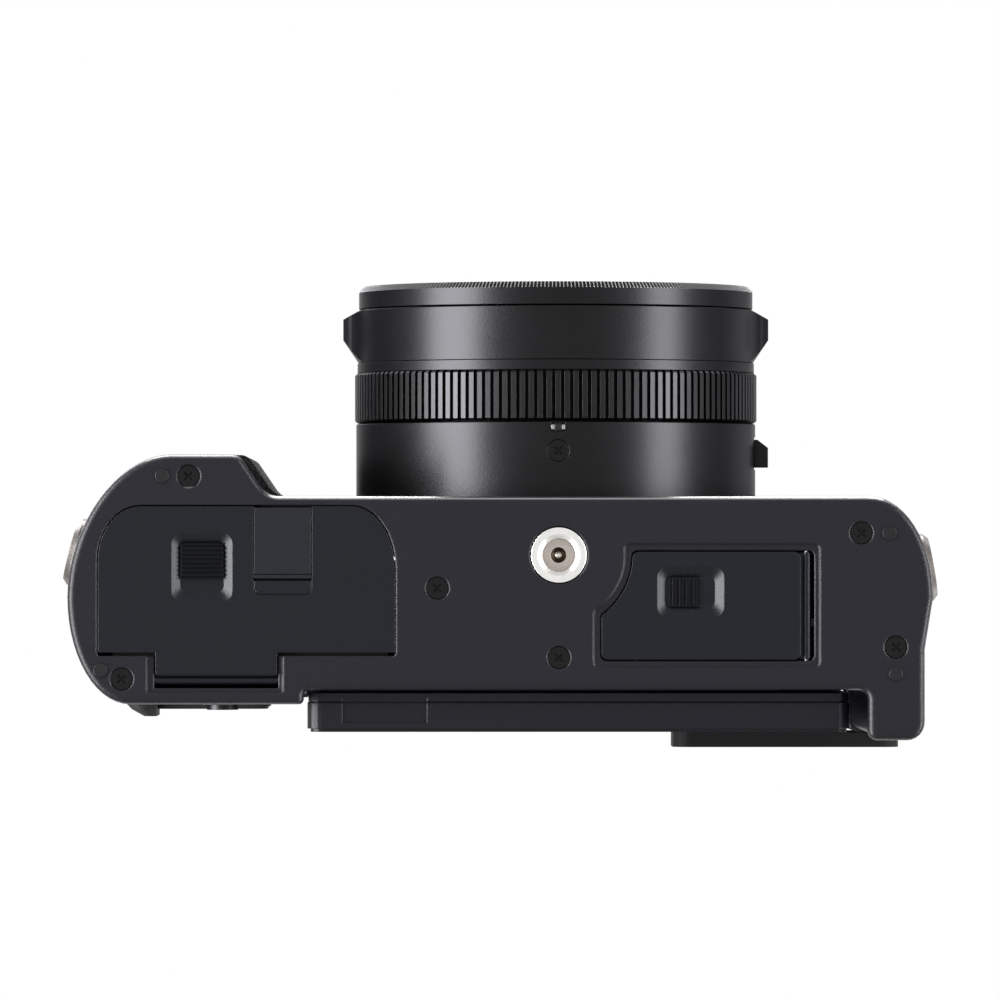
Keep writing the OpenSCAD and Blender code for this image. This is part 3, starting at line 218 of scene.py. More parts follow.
# ------------------------------------------------------------------ tripod thread
# The thread insert is turned from stainless steel. Its flange is faced on a lathe, which
# leaves fine rings round its centre.
def turned_steel(name, colour, ring_mm, centre, depth_mm, roughness=0.22):
    """Bright metal with lathe marks round the vertical axis through centre. Its bore is painted
    darker as shade, the pit at its end, depth_mm in, is painted near black as shade, and the
    very tip is painted bright again as a highlight."""
    finish = Finish(name, Metallic=1.0)
    moved = finish.node("ShaderNodeVectorMath", {"operation": "SUBTRACT"},
                        {0: finish.place, 1: centre})
    flat = finish.node("ShaderNodeVectorMath", {"operation": "MULTIPLY"},
                       {0: moved, 1: (1, 1, 0)})
    radius = finish.node("ShaderNodeVectorMath", {"operation": "LENGTH"}, {0: flat}, "Value")
    marks = finish.node("ShaderNodeTexNoise", {"noise_dimensions": "1D"},
                        {"W": radius / (ring_mm * MM), "Scale": 1.0, "Detail": 2.0})
    smear = finish.noise(1.5, 3.0)
    soft, _ = finish.edges(0.12)
    bore_shade_start_mm, bore_shade_fade_mm, pit_shade_mm, tip_highlight_mm = 0.55, 0.6, 1.6, 0.7
    depth = (finish.part(moved, "Z") + depth_mm / 2 * MM) / MM
    faced = finish.mix(smear, shaded(colour, 0.82), colour)
    # Painted shade down the bore and in the pit; the very tip is a painted highlight.
    bore_shade = finish.mix(((depth - bore_shade_start_mm) / bore_shade_fade_mm).kept(0, 1), faced,
                      shaded(colour, (0.62, 0.57, 0.54)))
    pit_shade = finish.mix(((depth - depth_mm + pit_shade_mm) * 8).kept(0, 1), bore_shade,
                     (0.035, 0.028, 0.022, 1))
    finish.set(Base_Color=finish.mix(((depth - depth_mm + tip_highlight_mm) * 8).kept(0, 1), pit_shade, colour),
               Roughness=roughness + marks * 0.12,
               Normal=finish.relief(marks, 0.006, soft))
    return finish.material


steel = turned_steel("stainless_steel", (0.77, 0.76, 0.74, 1), ring_mm=0.12,
                     centre=tuple(tripod_axis), depth_mm=(socket_box[1].z - socket_box[0].z) / MM)
dress(steel, "tripod_socket")

# ------------------------------------------------------------------ doors and latches
# Both doors are moulded plastic, painted slightly cooler and darker than the plate. They
# turn on steel pins, and ribbed sliding latches in bevelled wells hold them.
door_black = painted("door_black", (0.0031, 0.0047, 0.0086, 1), (0.03, 0.031, 0.034, 1),
                     roughness=0.3, grain_mm=0.3, grain_depth_mm=0.022, edge_mm=0.14,
                     level=0.18)
dress(door_black, "battery_door", "card_door")
latch_black = painted("latch_black", (0.0036, 0.0042, 0.0068, 1), (0.02, 0.021, 0.026, 1),
                      roughness=0.3, grain_mm=0.25, grain_depth_mm=0.006, edge_mm=0.07,
                      level=0.08)
dress(latch_black, "battery_latch", "card_latch")
flap_black = painted("flap_black", (0.0066, 0.0078, 0.0125, 1), (0.03, 0.03, 0.034, 1),
                     roughness=0.34, grain_mm=0.3, grain_depth_mm=0.022, edge_mm=0.12)
dress(flap_black, "cable_flap")


def bare_steel(name, colour, roughness=0.3):
    """Drawn or stamped metal: soft streaks, small dents and brighter edges."""
    finish = Finish(name, Metallic=1.0)
    streaks = finish.noise(0.5, 3.0, (1, 1, 0.1))
    soft, edge = finish.edges(0.08)
    finish.set(Base_Color=finish.mix(streaks * 0.8 + edge * 0.2, shaded(colour, 0.7), colour),
               Roughness=roughness + streaks * 0.12,
               Normal=finish.relief(streaks, 0.004, soft))
    return finish.material


# The pins' steel is painted darker than bare steel: painted shade in the hinge slots.
pin_steel = bare_steel("pin_steel", (0.16, 0.16, 0.165, 1))
dress(pin_steel, "hinge_pins")

# ------------------------------------------------------------------ casings and covering
# Front and rear casings are cast in one metal and painted like the plate. A grained
# rubber leather covers them and swells into the grip, and a thumb rest sits at the back.
casing_black = painted("casing_black", (0.0092, 0.0081, 0.0139, 1), (0.03, 0.03, 0.033, 1),
                       roughness=0.32, grain_mm=0.3, grain_depth_mm=0.022, edge_mm=0.8)
dress(casing_black, "front_casing", "rear_casing", "top_plate", "eyepiece_frame", "port_door")


def leathered(name, colour, cell_mm, depth_mm):
    """Rubber leather: small pillowed cells with creases between, slightly shiny on top. Its colour
    is painted darker in the creases as shade and lighter on the cell tops as a highlight.
    """
    finish = Finish(name, Specular_IOR_Level=0.11)
    crease = finish.cells(cell_mm, "DISTANCE_TO_EDGE")
    pillow = (crease * 3.2).kept(0, 1) ** 0.6
    fine = finish.noise(0.15)
    tone = finish.noise(6.0, 3.0)
    soft, _ = finish.edges(0.2)
    # Painted shade in the creases, painted highlight on the cell tops.
    finish.set(Base_Color=finish.mix(pillow * (0.6 + tone * 0.4), shaded(colour, 0.45),
                                     shaded(colour, 1.5)),
               Roughness=0.66 - pillow * 0.14 + fine * 0.1,
               Normal=finish.relief(pillow + fine * 0.2, depth_mm, soft))
    return finish.material


covering = leathered("rubber_leather", (0.0065, 0.0065, 0.007, 1), cell_mm=0.75, depth_mm=0.12)
dress(covering, "grip_cover")
rest_black = painted("rest_black", (0.011, 0.011, 0.012, 1), (0.04, 0.04, 0.042, 1),
                     roughness=0.58, grain_mm=0.25, grain_depth_mm=0.02, edge_mm=0.25)
dress(rest_black, "thumb_rest")

# ------------------------------------------------------------------ inside
# The frame, the battery in its box, the card in its slot, the sensor and the boards stand
# inside the casings. They are stamped steel, glass-filled plastic and green laminate.
box_plastic = painted("box_plastic", (0.03, 0.03, 0.032, 1), (0.08, 0.08, 0.08, 1),
                      roughness=0.55, grain_mm=0.4, grain_depth_mm=0.01)
dress(box_plastic, "battery_box", "card_slot", "finder_tube")
cell_wrap = painted("cell_wrap", (0.02, 0.022, 0.028, 1), (0.06, 0.06, 0.06, 1),
                    roughness=0.4, grain_mm=0.6, grain_depth_mm=0.004)
dress(cell_wrap, "battery")
card_blue = painted("card_plastic", (0.02, 0.03, 0.07, 1), (0.06, 0.07, 0.1, 1),
                    roughness=0.4, grain_mm=0.4, grain_depth_mm=0.005)
dress(card_blue, "memory_card")
# The frame's steel is painted near black: painted shade in the gaps round the doors.
frame_metal = bare_steel("frame_metal", (0.05, 0.05, 0.052, 1), 0.42)
dress(frame_metal, "main_frame", "top_bracket", "stick_gimbal", "port_block", "iso_sleeve")


def circuit(name):
    """Green laminate with copper lines under lacquer, and small black parts as printed tone."""
    finish = Finish(name, Specular_IOR_Level=0.5)
    lines = finish.cells(2.4, "DISTANCE_TO_EDGE")
    line = (1 - lines * 14).kept(0, 1)
    pads = finish.cells(1.3)
    pad = ((0.22 - pads) * 20).kept(0, 1)
    ground = finish.mix(line, (0.008, 0.06, 0.026, 1), (0.02, 0.13, 0.05, 1))
    finish.set(Base_Color=finish.mix(pad, ground, (0.45, 0.36, 0.16, 1)),
               Roughness=0.42 - pad * 0.15, Metallic=pad,
               Normal=finish.relief(line + pad, 0.03))
    return finish.material


dress(circuit("green_laminate"), "main_board")


def sensor_face(name):
    """The sensor's cover glass: a dark, faintly red and green sheen over its wells."""
    finish = Finish(name, Specular_IOR_Level=0.6)
    tint = finish.noise(14.0, 1.0)
    finish.set(Base_Color=finish.mix(tint, (0.012, 0.02, 0.018, 1), (0.035, 0.012, 0.02, 1)),
               Roughness=0.08 + finish.noise(0.8) * 0.05)
    return finish.material


dress(sensor_face("sensor_glass"), "sensor_unit")

# ------------------------------------------------------------------ lens barrel
# The barrel, its rings and the front ring are turned aluminium, blasted fine and anodised
# satin black. A cross-head screw and a slot with two bright index pins are on its underside.
lens_low, lens_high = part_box("filter_ring")
lens_centre = (lens_low + lens_high) / 2


def anodised(name, colour, tint, roughness, grain_mm=0.14, depth_mm=0.006, edge_mm=0.12):
    """Satin black anodised metal, dark at grazing angles, with a blasted grain."""
    finish = Finish(name, Metallic=1.0, Specular_Tint=tint)
    grain = finish.noise(grain_mm)
    tone = finish.noise(5.0, 3.0)
    soft, edge = finish.edges(edge_mm)
    body = finish.mix(tone * 0.6 + grain * 0.4, colour, shaded(colour, 1.25))
    # The edges are painted lighter: a painted highlight.
    finish.set(Base_Color=finish.mix(edge * 0.6, body, shaded(colour, 2.4)),
               Roughness=roughness + grain * 0.1 + tone * 0.04,
               Normal=finish.relief(grain, depth_mm, soft))
    return finish.material


lens_black = anodised("lens_black", (0.0146, 0.0145, 0.0156, 1), (0.48, 0.48, 0.485, 1),
                      roughness=0.24, grain_mm=0.3, depth_mm=0.012)
dress(lens_black, "lens_barrel", "spacer_ring", "aperture_ring", "filter_ring", "focus_lever")
inner_black = painted("inner_black", (0.004, 0.004, 0.004, 1), (0.012, 0.012, 0.012, 1),
                      roughness=0.7, grain_mm=0.3, grain_depth_mm=0.004, edge_mm=0.1,
                      level=0.04)
dress(inner_black, "iris_blades", "focus_cell")


def mesh_piece(name, points, faces, material):
    """A piece made from points in metres and faces."""
    mesh = bpy.data.meshes.new(name)
    mesh.from_pydata([tuple(p) for p in points], [], faces)
    mesh.materials.append(material)
    piece = bpy.data.objects.new(name, mesh)
    bpy.context.scene.collection.objects.link(piece)
    return piece


def joined(*shapes):
    """One list of points and one of faces from several pairs of them."""
    points, faces = [], []
    for more_points, more_faces in shapes:
        start = len(points)
        points += more_points
        faces += [[start + i for i in face] for face in more_faces]
    return points, faces


LENS_AXIS = Vector((0, -1, 0))


def lens_at(radius_mm, turn_deg, forward_mm):
    """A place on the lens: radius, angle from the top towards the grip's side, and distance
    in front of the tripod thread's axis."""
    turn = math.radians(turn_deg)
    return Vector((lens_centre.x - radius_mm * MM * math.sin(turn),
                   tripod_axis.y - forward_mm * MM,
                   lens_centre.z + radius_mm * MM * math.cos(turn)))


def stadium(half_width, half_height, steps=10):
    """Outline of a slot with round ends, in millimetres."""
    reach = half_width - half_height
    return [(side * reach + half_height * math.cos(turn), half_height * math.sin(turn))
            for side, start in ((1, -90), (-1, 90))
            for turn in (math.radians(start + 180 * i / steps) for i in range(steps + 1))]


def plug(outline, middle, inner, outer):
    """A flat-topped plug on the barrel's underside, between two radii in millimetres."""
    count = len(outline)
    points = [Vector((middle.x + x * MM, middle.y + y * MM, lens_centre.z - radius * MM))
              for radius in (inner, outer) for x, y in outline]
    faces = [[i, (i + 1) % count, count + (i + 1) % count, count + i] for i in range(count)]
    return points, faces + [list(range(count))[::-1], list(range(count, 2 * count))]


barrel_radius = (lens_centre.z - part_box("lens_barrel")[0].z) / MM
slot_middle = lens_at(barrel_radius, turn_deg=180, forward_mm=19.86)
slot_floor = barrel_radius - 0.9
# The slot is filled to the barrel's surface with a near-black plug: painted shade in the recess.
painted_shade_black = painted("painted_shade_black", (0.002, 0.002, 0.0022, 1), (0.004, 0.004, 0.004, 1),
                    roughness=0.7, grain_mm=0.3, grain_depth_mm=0.004, edge_mm=0.05, level=0.03)
index_slot = mesh_piece("index_slot", *plug(stadium(1.3, 0.7), slot_middle, slot_floor,
                                            barrel_radius + 0.02), painted_shade_black)
block_half, block_reach = 0.5, 0.55
key_block = mesh_piece("key_block", *plug(
    [(-block_half, -block_reach), (block_half, -block_reach),
     (block_half, block_reach), (-block_half, block_reach)],
    slot_middle, slot_floor, barrel_radius + 0.05), foot_black)
bright_steel = bare_steel("bright_steel", (0.3, 0.3, 0.3, 1))
pin_half, pin_reach, pin_aside = 0.24, 0.38, 0.84
pin_outline = ((-1, -0.7), (-0.5, -1), (0.5, -1), (1, -0.7),
               (1, 0.7), (0.5, 1), (-0.5, 1), (-1, 0.7))
index_pins = mesh_piece("index_pins", *joined(*[
    plug([(aside + x * pin_half, y * pin_reach) for x, y in pin_outline],
         slot_middle, slot_floor, barrel_radius + 0.08) for aside in (-pin_aside, pin_aside)]),
    bright_steel)
for piece in (index_slot, key_block, index_pins):
    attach(piece, "body")

# ------------------------------------------------------------------ focus ring
# The focus ring is anodised aluminium with milled straight ribs over a ground painted near
# black as shade. Each rib is flat on top, slopes at its sides and is chamfered at both ends.
def ring_tree(name):
    """Geometry nodes that set copies of one unit round an axis."""
    tree = bpy.data.node_groups.new(name, "GeometryNodeTree")
    face = tree.interface
    face.new_socket("Geometry", in_out="INPUT", socket_type="NodeSocketGeometry")
    for label, kind in (("Unit", "NodeSocketObject"), ("Count", "NodeSocketInt"),
                        ("Sweep", "NodeSocketFloat"), ("Axis", "NodeSocketVector"),
                        ("Centre", "NodeSocketVector"), ("Finish", "NodeSocketMaterial")):
        face.new_socket(label, in_out="INPUT", socket_type=kind)
    face.new_socket("Geometry", in_out="OUTPUT", socket_type="NodeSocketGeometry")
    sizes = tree.nodes.new("NodeGroupInput")
    line = tree.nodes.new("GeometryNodeMeshLine")
    line.inputs["Offset"].default_value = (0, 0, 0)
    index = tree.nodes.new("GeometryNodeInputIndex")
    share = tree.nodes.new("ShaderNodeMath")
    share.operation = "DIVIDE"
    angle = tree.nodes.new("ShaderNodeMath")
    angle.operation = "MULTIPLY"
    turn = tree.nodes.new("FunctionNodeAxisAngleToRotation")
    unit = tree.nodes.new("GeometryNodeObjectInfo")
    copies = tree.nodes.new("GeometryNodeInstanceOnPoints")
    real = tree.nodes.new("GeometryNodeRealizeInstances")
    finish = tree.nodes.new("GeometryNodeSetMaterial")
    out = tree.nodes.new("NodeGroupOutput")
    for source, target in (
            (sizes.outputs["Count"], line.inputs["Count"]),
            (sizes.outputs["Centre"], line.inputs["Start Location"]),
            (index.outputs[0], share.inputs[0]), (sizes.outputs["Count"], share.inputs[1]),
            (share.outputs[0], angle.inputs[0]), (sizes.outputs["Sweep"], angle.inputs[1]),
            (sizes.outputs["Axis"], turn.inputs["Axis"]), (angle.outputs[0], turn.inputs["Angle"]),
            (sizes.outputs["Unit"], unit.inputs["Object"]),
            (line.outputs["Mesh"], copies.inputs["Points"]),
            (unit.outputs["Geometry"], copies.inputs["Instance"]),
            (turn.outputs["Rotation"], copies.inputs["Rotation"]),
            (copies.outputs["Instances"], real.inputs["Geometry"]),
            (real.outputs["Geometry"], finish.inputs["Geometry"]),
            (sizes.outputs["Finish"], finish.inputs["Material"]),
            (finish.outputs["Geometry"], out.inputs["Geometry"])):
        tree.links.new(source, target)
    return tree


round_copies = ring_tree("round_copies")


def set_round(name, unit, count, axis, centre, material):
    """A piece of count copies of a unit (points from the axis, faces) round an axis."""
    points, faces = unit
    shape = mesh_piece(name + "_unit", points, faces, material)
    holder = mesh_piece(name + "_holder", [centre], [], material)
    maker = holder.modifiers.new("copies", "NODES")
    maker.node_group = round_copies
    for label, value in (("Unit", shape), ("Count", count), ("Axis", tuple(axis)),
                         ("Sweep", 2 * math.pi), ("Centre", tuple(centre)),
                         ("Finish", material)):
        socket = next(s for s in round_copies.interface.items_tree
                      if s.name == label and s.in_out == "INPUT")
        maker[socket.identifier] = value
    now = bpy.context.evaluated_depsgraph_get()
    mesh = bpy.data.meshes.new_from_object(holder.evaluated_get(now))
    mesh.name = name
    for helper in (holder, shape):
        bpy.data.objects.remove(helper)
    piece = bpy.data.objects.new(name, mesh)
    bpy.context.scene.collection.objects.link(piece)
    return piece


def rib_unit(out, along, foot, top, reach_low, reach_high, half_foot, half_top, chamfer):
    """A rib: from radius foot to top, from reach_low to reach_high along the axis, with end
    chamfers. out and along are unit vectors, all sizes in millimetres."""
    across = along.cross(out)
    points = []
    for radius, half, inset in ((foot, half_foot, 0), (top - chamfer, half_top * 1.02, 0),
                                (top, half_top, chamfer)):
        for reach in (reach_low + inset, reach_high - inset):
            for side in (-1, 1):
                points.append((out * radius + along * reach + across * (side * half)) * MM)
    faces = [[8, 9, 11, 10]]
    for base in (0, 4):
        a, b, c, d = base, base + 1, base + 3, base + 2
        e, f, g, h = a + 4, b + 4, c + 4, d + 4
        faces += [[a, b, f, e], [b, c, g, f], [c, d, h, g], [d, a, e, h]]
    return points, faces


def face_out(piece):
    """Turns a closed piece's faces outwards."""
    shape = bmesh.new()
    shape.from_mesh(piece.data)
    bmesh.ops.remove_doubles(shape, verts=shape.verts, dist=1e-7)
    bmesh.ops.recalc_face_normals(shape, faces=shape.faces)
    shape.to_mesh(piece.data)
    shape.free()


rib_black = anodised("rib_black", (0.0183, 0.0183, 0.0195, 1), (0.48, 0.48, 0.485, 1),
                     roughness=0.24, grain_mm=0.3, depth_mm=0.008, edge_mm=0.05)
focus_low, focus_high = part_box("focus_ring")
focus_radius = (focus_high.x - focus_low.x) / 2 / MM
focus_width = (focus_high.y - focus_low.y) / MM
focus_centre = (focus_low + focus_high) / 2
rib_count = 144
focus_ribs = set_round(
    "focus_ribs",
    rib_unit(Vector((1, 0, 0)), LENS_AXIS, foot=focus_radius - 0.35, top=focus_radius + 0.42,
             reach_low=-focus_width / 2, reach_high=focus_width / 2,
             half_foot=0.44, half_top=0.4, chamfer=0.34),
    rib_count, LENS_AXIS, focus_centre, rib_black)
face_out(focus_ribs)
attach(focus_ribs, "focus_ring")
# Under the ribs the ring is painted near black: painted shade in the grooves.
dress(painted_shade_black, "focus_ring")

# ------------------------------------------------------------------ front ring
# The front ring is turned from aluminium and carries the filter thread. Its front bevel has
# a fine straight knurl, pressed in after anodising and so a little brighter.
front_radius = (lens_high.x - lens_low.x) / 2 / MM
bevel, ridge_count, ridge_half, ridge_foot, ridge_top = 0.92, 330, 0.22, 0.2, 0.16
knurl_grey = anodised("knurl_grey", (0.14, 0.14, 0.144, 1), (0.75, 0.75, 0.75, 1),
                      roughness=0.34)
ridge_points = [Vector((front_radius + reach + out, 0, side)) * MM + Vector((0, back * MM, 0))
                for reach, back in ((0.02, bevel), (-bevel, 0.0))
                for out, side in ((-ridge_foot, -ridge_half), (ridge_top, 0),
                                  (-ridge_foot, ridge_half))]
ridge_faces = [[0, 1, 4, 3], [1, 2, 5, 4], [0, 3, 5, 2], [0, 2, 1], [3, 4, 5]]
front_knurl = set_round("front_knurl", (ridge_points, ridge_faces), ridge_count, LENS_AXIS,
                        Vector((lens_centre.x, lens_low.y, lens_centre.z)), knurl_grey)
face_out(front_knurl)
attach(front_knurl, "body")

# ------------------------------------------------------------------ glass
# The front and rear elements, the finder's window, the eyepiece and the screen's cover are
# coated glass, cemented into their frames.
def glassy(name, tint, roughness=0.02):
    """Coated glass, drawn opaque, with the faintest smear: the darkness behind it is painted
    into it as shade. tint is the share of light that its coating sends back."""
    finish = Finish(name, Metallic=1.0, Specular_Tint=(0.8, 0.78, 0.95, 1))
    smear = finish.noise(4.0, 4.0)
    finish.set(Base_Color=finish.mix(smear, tint, shaded(tint, 0.8)),
               Roughness=roughness + smear * 0.02)
    return finish.material


element_glass = glassy("element_glass", (0.012, 0.013, 0.022, 1))
dress(element_glass, "front_glass", "rear_glass")
finder_glass = glassy("finder_glass", (0.02, 0.025, 0.03, 1))
dress(finder_glass, "finder_window", "eyepiece_glass")
cover_glass = glassy("cover_glass", (0.01, 0.01, 0.012, 1), 0.03)
dress(cover_glass, "screen_glass")

# ------------------------------------------------------------------ screen and finder
# The screen is a flat plastic case on a folding steel arm. The finder's frame carries a
# soft rubber cup.
screen_black = painted("screen_black", (0.0043, 0.0034, 0.0083, 1), (0.03, 0.03, 0.034, 1),
                       roughness=0.32, grain_mm=0.22, grain_depth_mm=0.016, edge_mm=0.16,
                       level=0.18)
dress(screen_black, "screen_frame")
arm_black = painted("arm_black", (0.006, 0.006, 0.007, 1), (0.05, 0.05, 0.05, 1),
                    roughness=0.4, grain_mm=0.3, grain_depth_mm=0.006)
dress(arm_black, "screen_arm")
cup_rubber = painted("cup_rubber", (0.0045, 0.0047, 0.0056, 1), (0.02, 0.02, 0.022, 1),
                     roughness=0.62, grain_mm=0.3, grain_depth_mm=0.015, edge_mm=0.3,
                     level=0.12)
dress(cup_rubber, "eyecup")

# ------------------------------------------------------------------ top and rear controls
# Dials and wheels are turned metal with milled edges, anodised black. The buttons are
# moulded, and the shutter button and accessory shoe are bright metal.
UP = Vector((0, 0, 1))
dial_black = anodised("dial_black", (0.02, 0.02, 0.022, 1), (0.5, 0.5, 0.5, 1), roughness=0.32)
dress(dial_black, "power_lever", "shutter_dial", "iso_ring", "comp_dial", "front_dial",
      "rear_dial", "diopter_knob", "focus_stick")
button_black = painted("button_black", (0.01, 0.01, 0.011, 1), (0.05, 0.05, 0.05, 1),
                       roughness=0.42, grain_mm=0.25, grain_depth_mm=0.006, edge_mm=0.2)
dress(button_black, "menu_button", "play_button", "back_button")
bright_metal = bare_steel("bright_metal", (0.32, 0.315, 0.31, 1), 0.16)
dress(bright_metal, "shutter_button", "hot_shoe")
lug_metal = bare_steel("lug_metal", (0.135, 0.123, 0.117, 1), 0.3)
dress(lug_metal, "strap_lugs")


def dial_middle(node):
    """Middle of a dial's top face."""
    low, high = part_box(node)
    return Vector(((low.x + high.x) / 2, (low.y + high.y) / 2, high.z))


def milled_edge(node, count, height_mm, top_gap_mm):
    """Straight ribs round a dial's rim, from top_gap_mm under its top face."""
    low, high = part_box(node)
    radius = (high.x - low.x) / 2 / MM
    pitch = 2 * math.pi * radius / count
    ribs = set_round(
        node + "_ribs",
        rib_unit(Vector((1, 0, 0)), UP, foot=radius - 0.2, top=radius + 0.12,
                 reach_low=-height_mm - top_gap_mm, reach_high=-top_gap_mm,
                 half_foot=pitch * 0.36, half_top=pitch * 0.2, chamfer=0.1),
        count, UP, dial_middle(node), dial_black)
    face_out(ribs)
    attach(ribs, node)


milled_edge("shutter_dial", 72, height_mm=1.7, top_gap_mm=0.3)
milled_edge("iso_ring", 96, height_mm=2.4, top_gap_mm=0.4)
milled_edge("comp_dial", 64, height_mm=3.6, top_gap_mm=0.4)

# ------------------------------------------------------------------ numbers
# Plain numbers are engraved in the dials and in the top of the aperture ring, and filled
# with white paint.
mark_white = painted("mark_white", (0.62, 0.62, 0.6, 1), (0.7, 0.7, 0.68, 1),
                     roughness=0.5, grain_mm=0.3, grain_depth_mm=0.002)


def number_shape(text, size_mm):
    """Points and faces of a number lying flat, centred, with its face up."""
    curve = bpy.data.curves.new("number", "FONT")
    curve.body, curve.size = text, size_mm * MM
    curve.align_x, curve.align_y = "CENTER", "CENTER"
    curve.extrude, curve.resolution_u = 0.02 * MM, 2
    writing = bpy.data.objects.new("number", curve)
    bpy.context.scene.collection.objects.link(writing)
    now = bpy.context.evaluated_depsgraph_get()
    mesh = bpy.data.meshes.new_from_object(writing.evaluated_get(now))
    shape = [v.co.copy() for v in mesh.vertices], [list(p.vertices) for p in mesh.polygons]
    bpy.data.objects.remove(writing)
    bpy.data.curves.remove(curve)
    bpy.data.meshes.remove(mesh)
    return shape


def numbered(name, body, texts, size_mm, placed):
    """Numbers as one piece. placed takes a number's index and a point of it, and gives the
    point's place on the camera."""
    shapes = []
    for index, text in enumerate(texts):
        points, faces = number_shape(text, size_mm)
        shapes.append(([placed(index, point) for point in points], faces))
    piece = mesh_piece(name, *joined(*shapes), mark_white)
    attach(piece, body)


def on_dial(node, radius_mm, step_deg, start_deg=0.0):
    """Places numbers round a dial's top, each with its head outwards."""
    middle = dial_middle(node)

    def placed(index, point):
        turn = Matrix.Rotation(math.radians(start_deg - index * step_deg), 3, "Z")
        return middle + turn @ Vector((-point.x, -point.y - radius_mm * MM, point.z))
    return placed


numbered("shutter_numbers", "shutter_dial",
         ("1", "2", "4", "8", "15", "30", "60", "125", "250", "500", "1000", "2000"),
         size_mm=1.5, placed=on_dial("shutter_dial", radius_mm=6.9, step_deg=30))
numbered("iso_numbers", "iso_ring", ("100", "200", "400", "800", "1600", "3200", "6400"),
         size_mm=1.4, placed=on_dial("iso_ring", radius_mm=10.3, step_deg=40, start_deg=120))
numbered("comp_numbers", "comp_dial", ("3", "2", "1", "0", "1", "2", "3"),
         size_mm=1.7, placed=on_dial("comp_dial", radius_mm=5.6, step_deg=40, start_deg=120))
aperture_low, aperture_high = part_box("aperture_ring")
aperture_radius = (aperture_high.z - aperture_low.z) / 2 / MM
aperture_forward = (tripod_axis.y - (aperture_low.y + aperture_high.y) / 2) / MM
stop_deg, stop_back_mm, middle_stop = 13.3, 1.6, 3
numbered("aperture_numbers", "aperture_ring", ("2", "2.8", "4", "5.6", "8", "11", "16"),
         size_mm=2.2, placed=lambda index, point: lens_at(
             aperture_radius + point.z / MM,
             (index - middle_stop) * stop_deg + math.degrees(point.x / MM / aperture_radius),
             aperture_forward - stop_back_mm + point.y / MM))

# ------------------------------------------------------------------ light and view
# Two tall soft lamps stand low at the sides and a strip in front, with two fills and three
# lamps overhead. The floor is pale, seen only from above, and fades out.
heart = at(0, -12, 40)


def lamp(name, direction, distance, width, length, radiance):
    """A flat soft lamp towards which direction points, facing the object, with its length
    along the lens axis."""
    light = bpy.data.lights.new(name, "AREA")
    light.shape = "RECTANGLE"
    light.size, light.size_y = width, length
    light.energy = radiance * math.pi * width * length
    holder = bpy.data.objects.new(name, light)
    bpy.context.scene.collection.objects.link(holder)
    back = direction.normalized()
    up = LENS_AXIS if abs(back.y) < 0.9 else UP
    right = up.cross(back).normalized()
    up = back.cross(right)
    turn = Matrix((right, up, back)).transposed().to_4x4()
    holder.matrix_world = Matrix.Translation(heart + back * distance) @ turn
    return holder


def slanted(side_deg, front_deg=0.0):
    """Direction from straight below, turned to the side and then to the front."""
    side, front = math.radians(side_deg), math.radians(front_deg)
    return Vector((math.sin(side) * math.cos(front), -math.sin(front),
                   -math.cos(side) * math.cos(front)))


high_front = Vector((0, -0.82, 0.58))
for name, direction, width, length, radiance in (
        ("left_strip", slanted(-62), 0.52, 1.3, 26.0),
        ("right_strip", slanted(64), 0.32, 1.3, 20.0),
        ("front_strip", high_front, 1.3, 0.45, 9.0)):
    lamp(name, direction, 0.9, width, length, radiance).visible_diffuse = False
for name, direction, distance, width, length, radiance in (
        ("front_fill", slanted(0, 48), 1.0, 1.2, 0.35, 5.0),
        ("front_high", high_front, 1.1, 1.3, 0.5, 8.0)):
    lamp(name, direction, distance, width, length, radiance).visible_glossy = False
for name, direction, width, length, radiance in (
        ("top_left", Vector((-0.6, -0.5, 0.9)), 0.7, 0.7, 4.0),
        ("top_right", Vector((0.8, 0.1, 0.7)), 0.5, 0.9, 2.5),
        ("top_back", Vector((-0.1, 0.9, 0.6)), 0.8, 0.4, 2.5)):
    lamp(name, direction, 1.2, width, length, radiance)

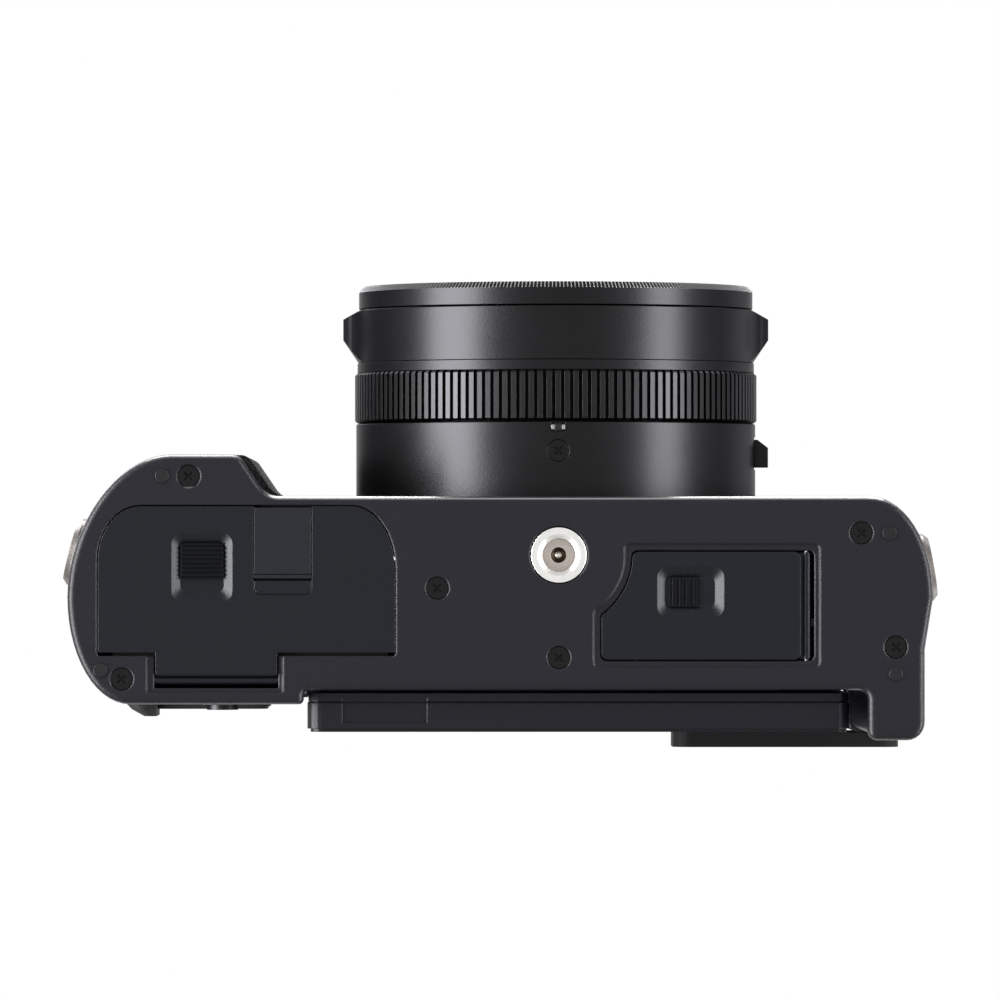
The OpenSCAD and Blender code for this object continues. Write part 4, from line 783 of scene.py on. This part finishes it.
# The surroundings are white to the camera and in reflections, and half as bright as light.
world = bpy.data.worlds.new("studio")
bpy.context.scene.world = world
world.use_nodes = True
wall = world.node_tree
for old in list(wall.nodes):
    wall.nodes.remove(old)
rays = wall.nodes.new("ShaderNodeLightPath")
seen = wall.nodes.new("ShaderNodeMath")
seen.operation = "MAXIMUM"
white = wall.nodes.new("ShaderNodeBackground")
white.inputs["Color"].default_value = (1, 1, 1, 1)
soft_fill = wall.nodes.new("ShaderNodeBackground")
soft_fill.inputs["Color"].default_value = (1, 1, 1, 1)
soft_fill.inputs["Strength"].default_value = 0.5
choice = wall.nodes.new("ShaderNodeMixShader")
sky = wall.nodes.new("ShaderNodeOutputWorld")
for source, target in (
        (rays.outputs["Is Camera Ray"], seen.inputs[0]),
        (rays.outputs["Is Glossy Ray"], seen.inputs[1]),
        (seen.outputs[0], choice.inputs[0]),
        (soft_fill.outputs[0], choice.inputs[1]), (white.outputs[0], choice.inputs[2]),
        (choice.outputs[0], sky.inputs[0])):
    wall.links.new(source, target)

floor_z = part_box("plate_feet")[0].z - 0.01 * MM
floor_half, floor_clear, floor_fade = 3.0, 0.2, 0.25
floor_paint = Finish("floor_paint", Roughness=0.9, Specular_IOR_Level=0.1)
floor_paint.set(Base_Color=floor_paint.mix(floor_paint.noise(60.0), (0.9, 0.9, 0.9, 1),
                                           (0.92, 0.92, 0.92, 1)))
under = floor_paint.node("ShaderNodeNewGeometry", {}, {}, "Backfacing")
clear = floor_paint.tree.nodes.new("ShaderNodeBsdfTransparent")
sided = floor_paint.tree.nodes.new("ShaderNodeMixShader")
floor_out = floor_paint.tree.nodes["Material Output"]
away = floor_paint.node("ShaderNodeVectorMath", {"operation": "LENGTH"}, {0: floor_paint.place},
                        "Value")
unseen = (under + ((away - floor_clear) / floor_fade).kept(0, 1)).kept(0, 1)
floor_paint.tree.links.new(unseen.socket, sided.inputs[0])
floor_paint.tree.links.new(floor_paint.shader.outputs[0], sided.inputs[1])
floor_paint.tree.links.new(clear.outputs[0], sided.inputs[2])
floor_paint.tree.links.new(sided.outputs[0], floor_out.inputs[0])
floor = mesh_piece("floor", [Vector((x * floor_half, y * floor_half, floor_z))
                             for x, y in ((-1, -1), (1, -1), (1, 1), (-1, 1))],
                   [[0, 1, 2, 3]], floor_paint.material)
floor.visible_diffuse = floor.visible_glossy = floor.visible_shadow = False

view = bpy.data.cameras.new("view")
view.sensor_width = 36
view.lens = 297
view.clip_start, view.clip_end = 0.05, 20
camera = bpy.data.objects.new("view", view)
bpy.context.scene.collection.objects.link(camera)
eye, target = at(-16, 0.77, -1270), at(-9.07, -8.47, 0)
back = (eye - target).normalized()
right = LENS_AXIS.cross(back).normalized()
camera.matrix_world = (Matrix.Translation(eye)
                       @ Matrix((right, back.cross(right), back)).transposed().to_4x4())
bpy.context.scene.camera = camera
bpy.context.scene.view_settings.view_transform = "Standard"
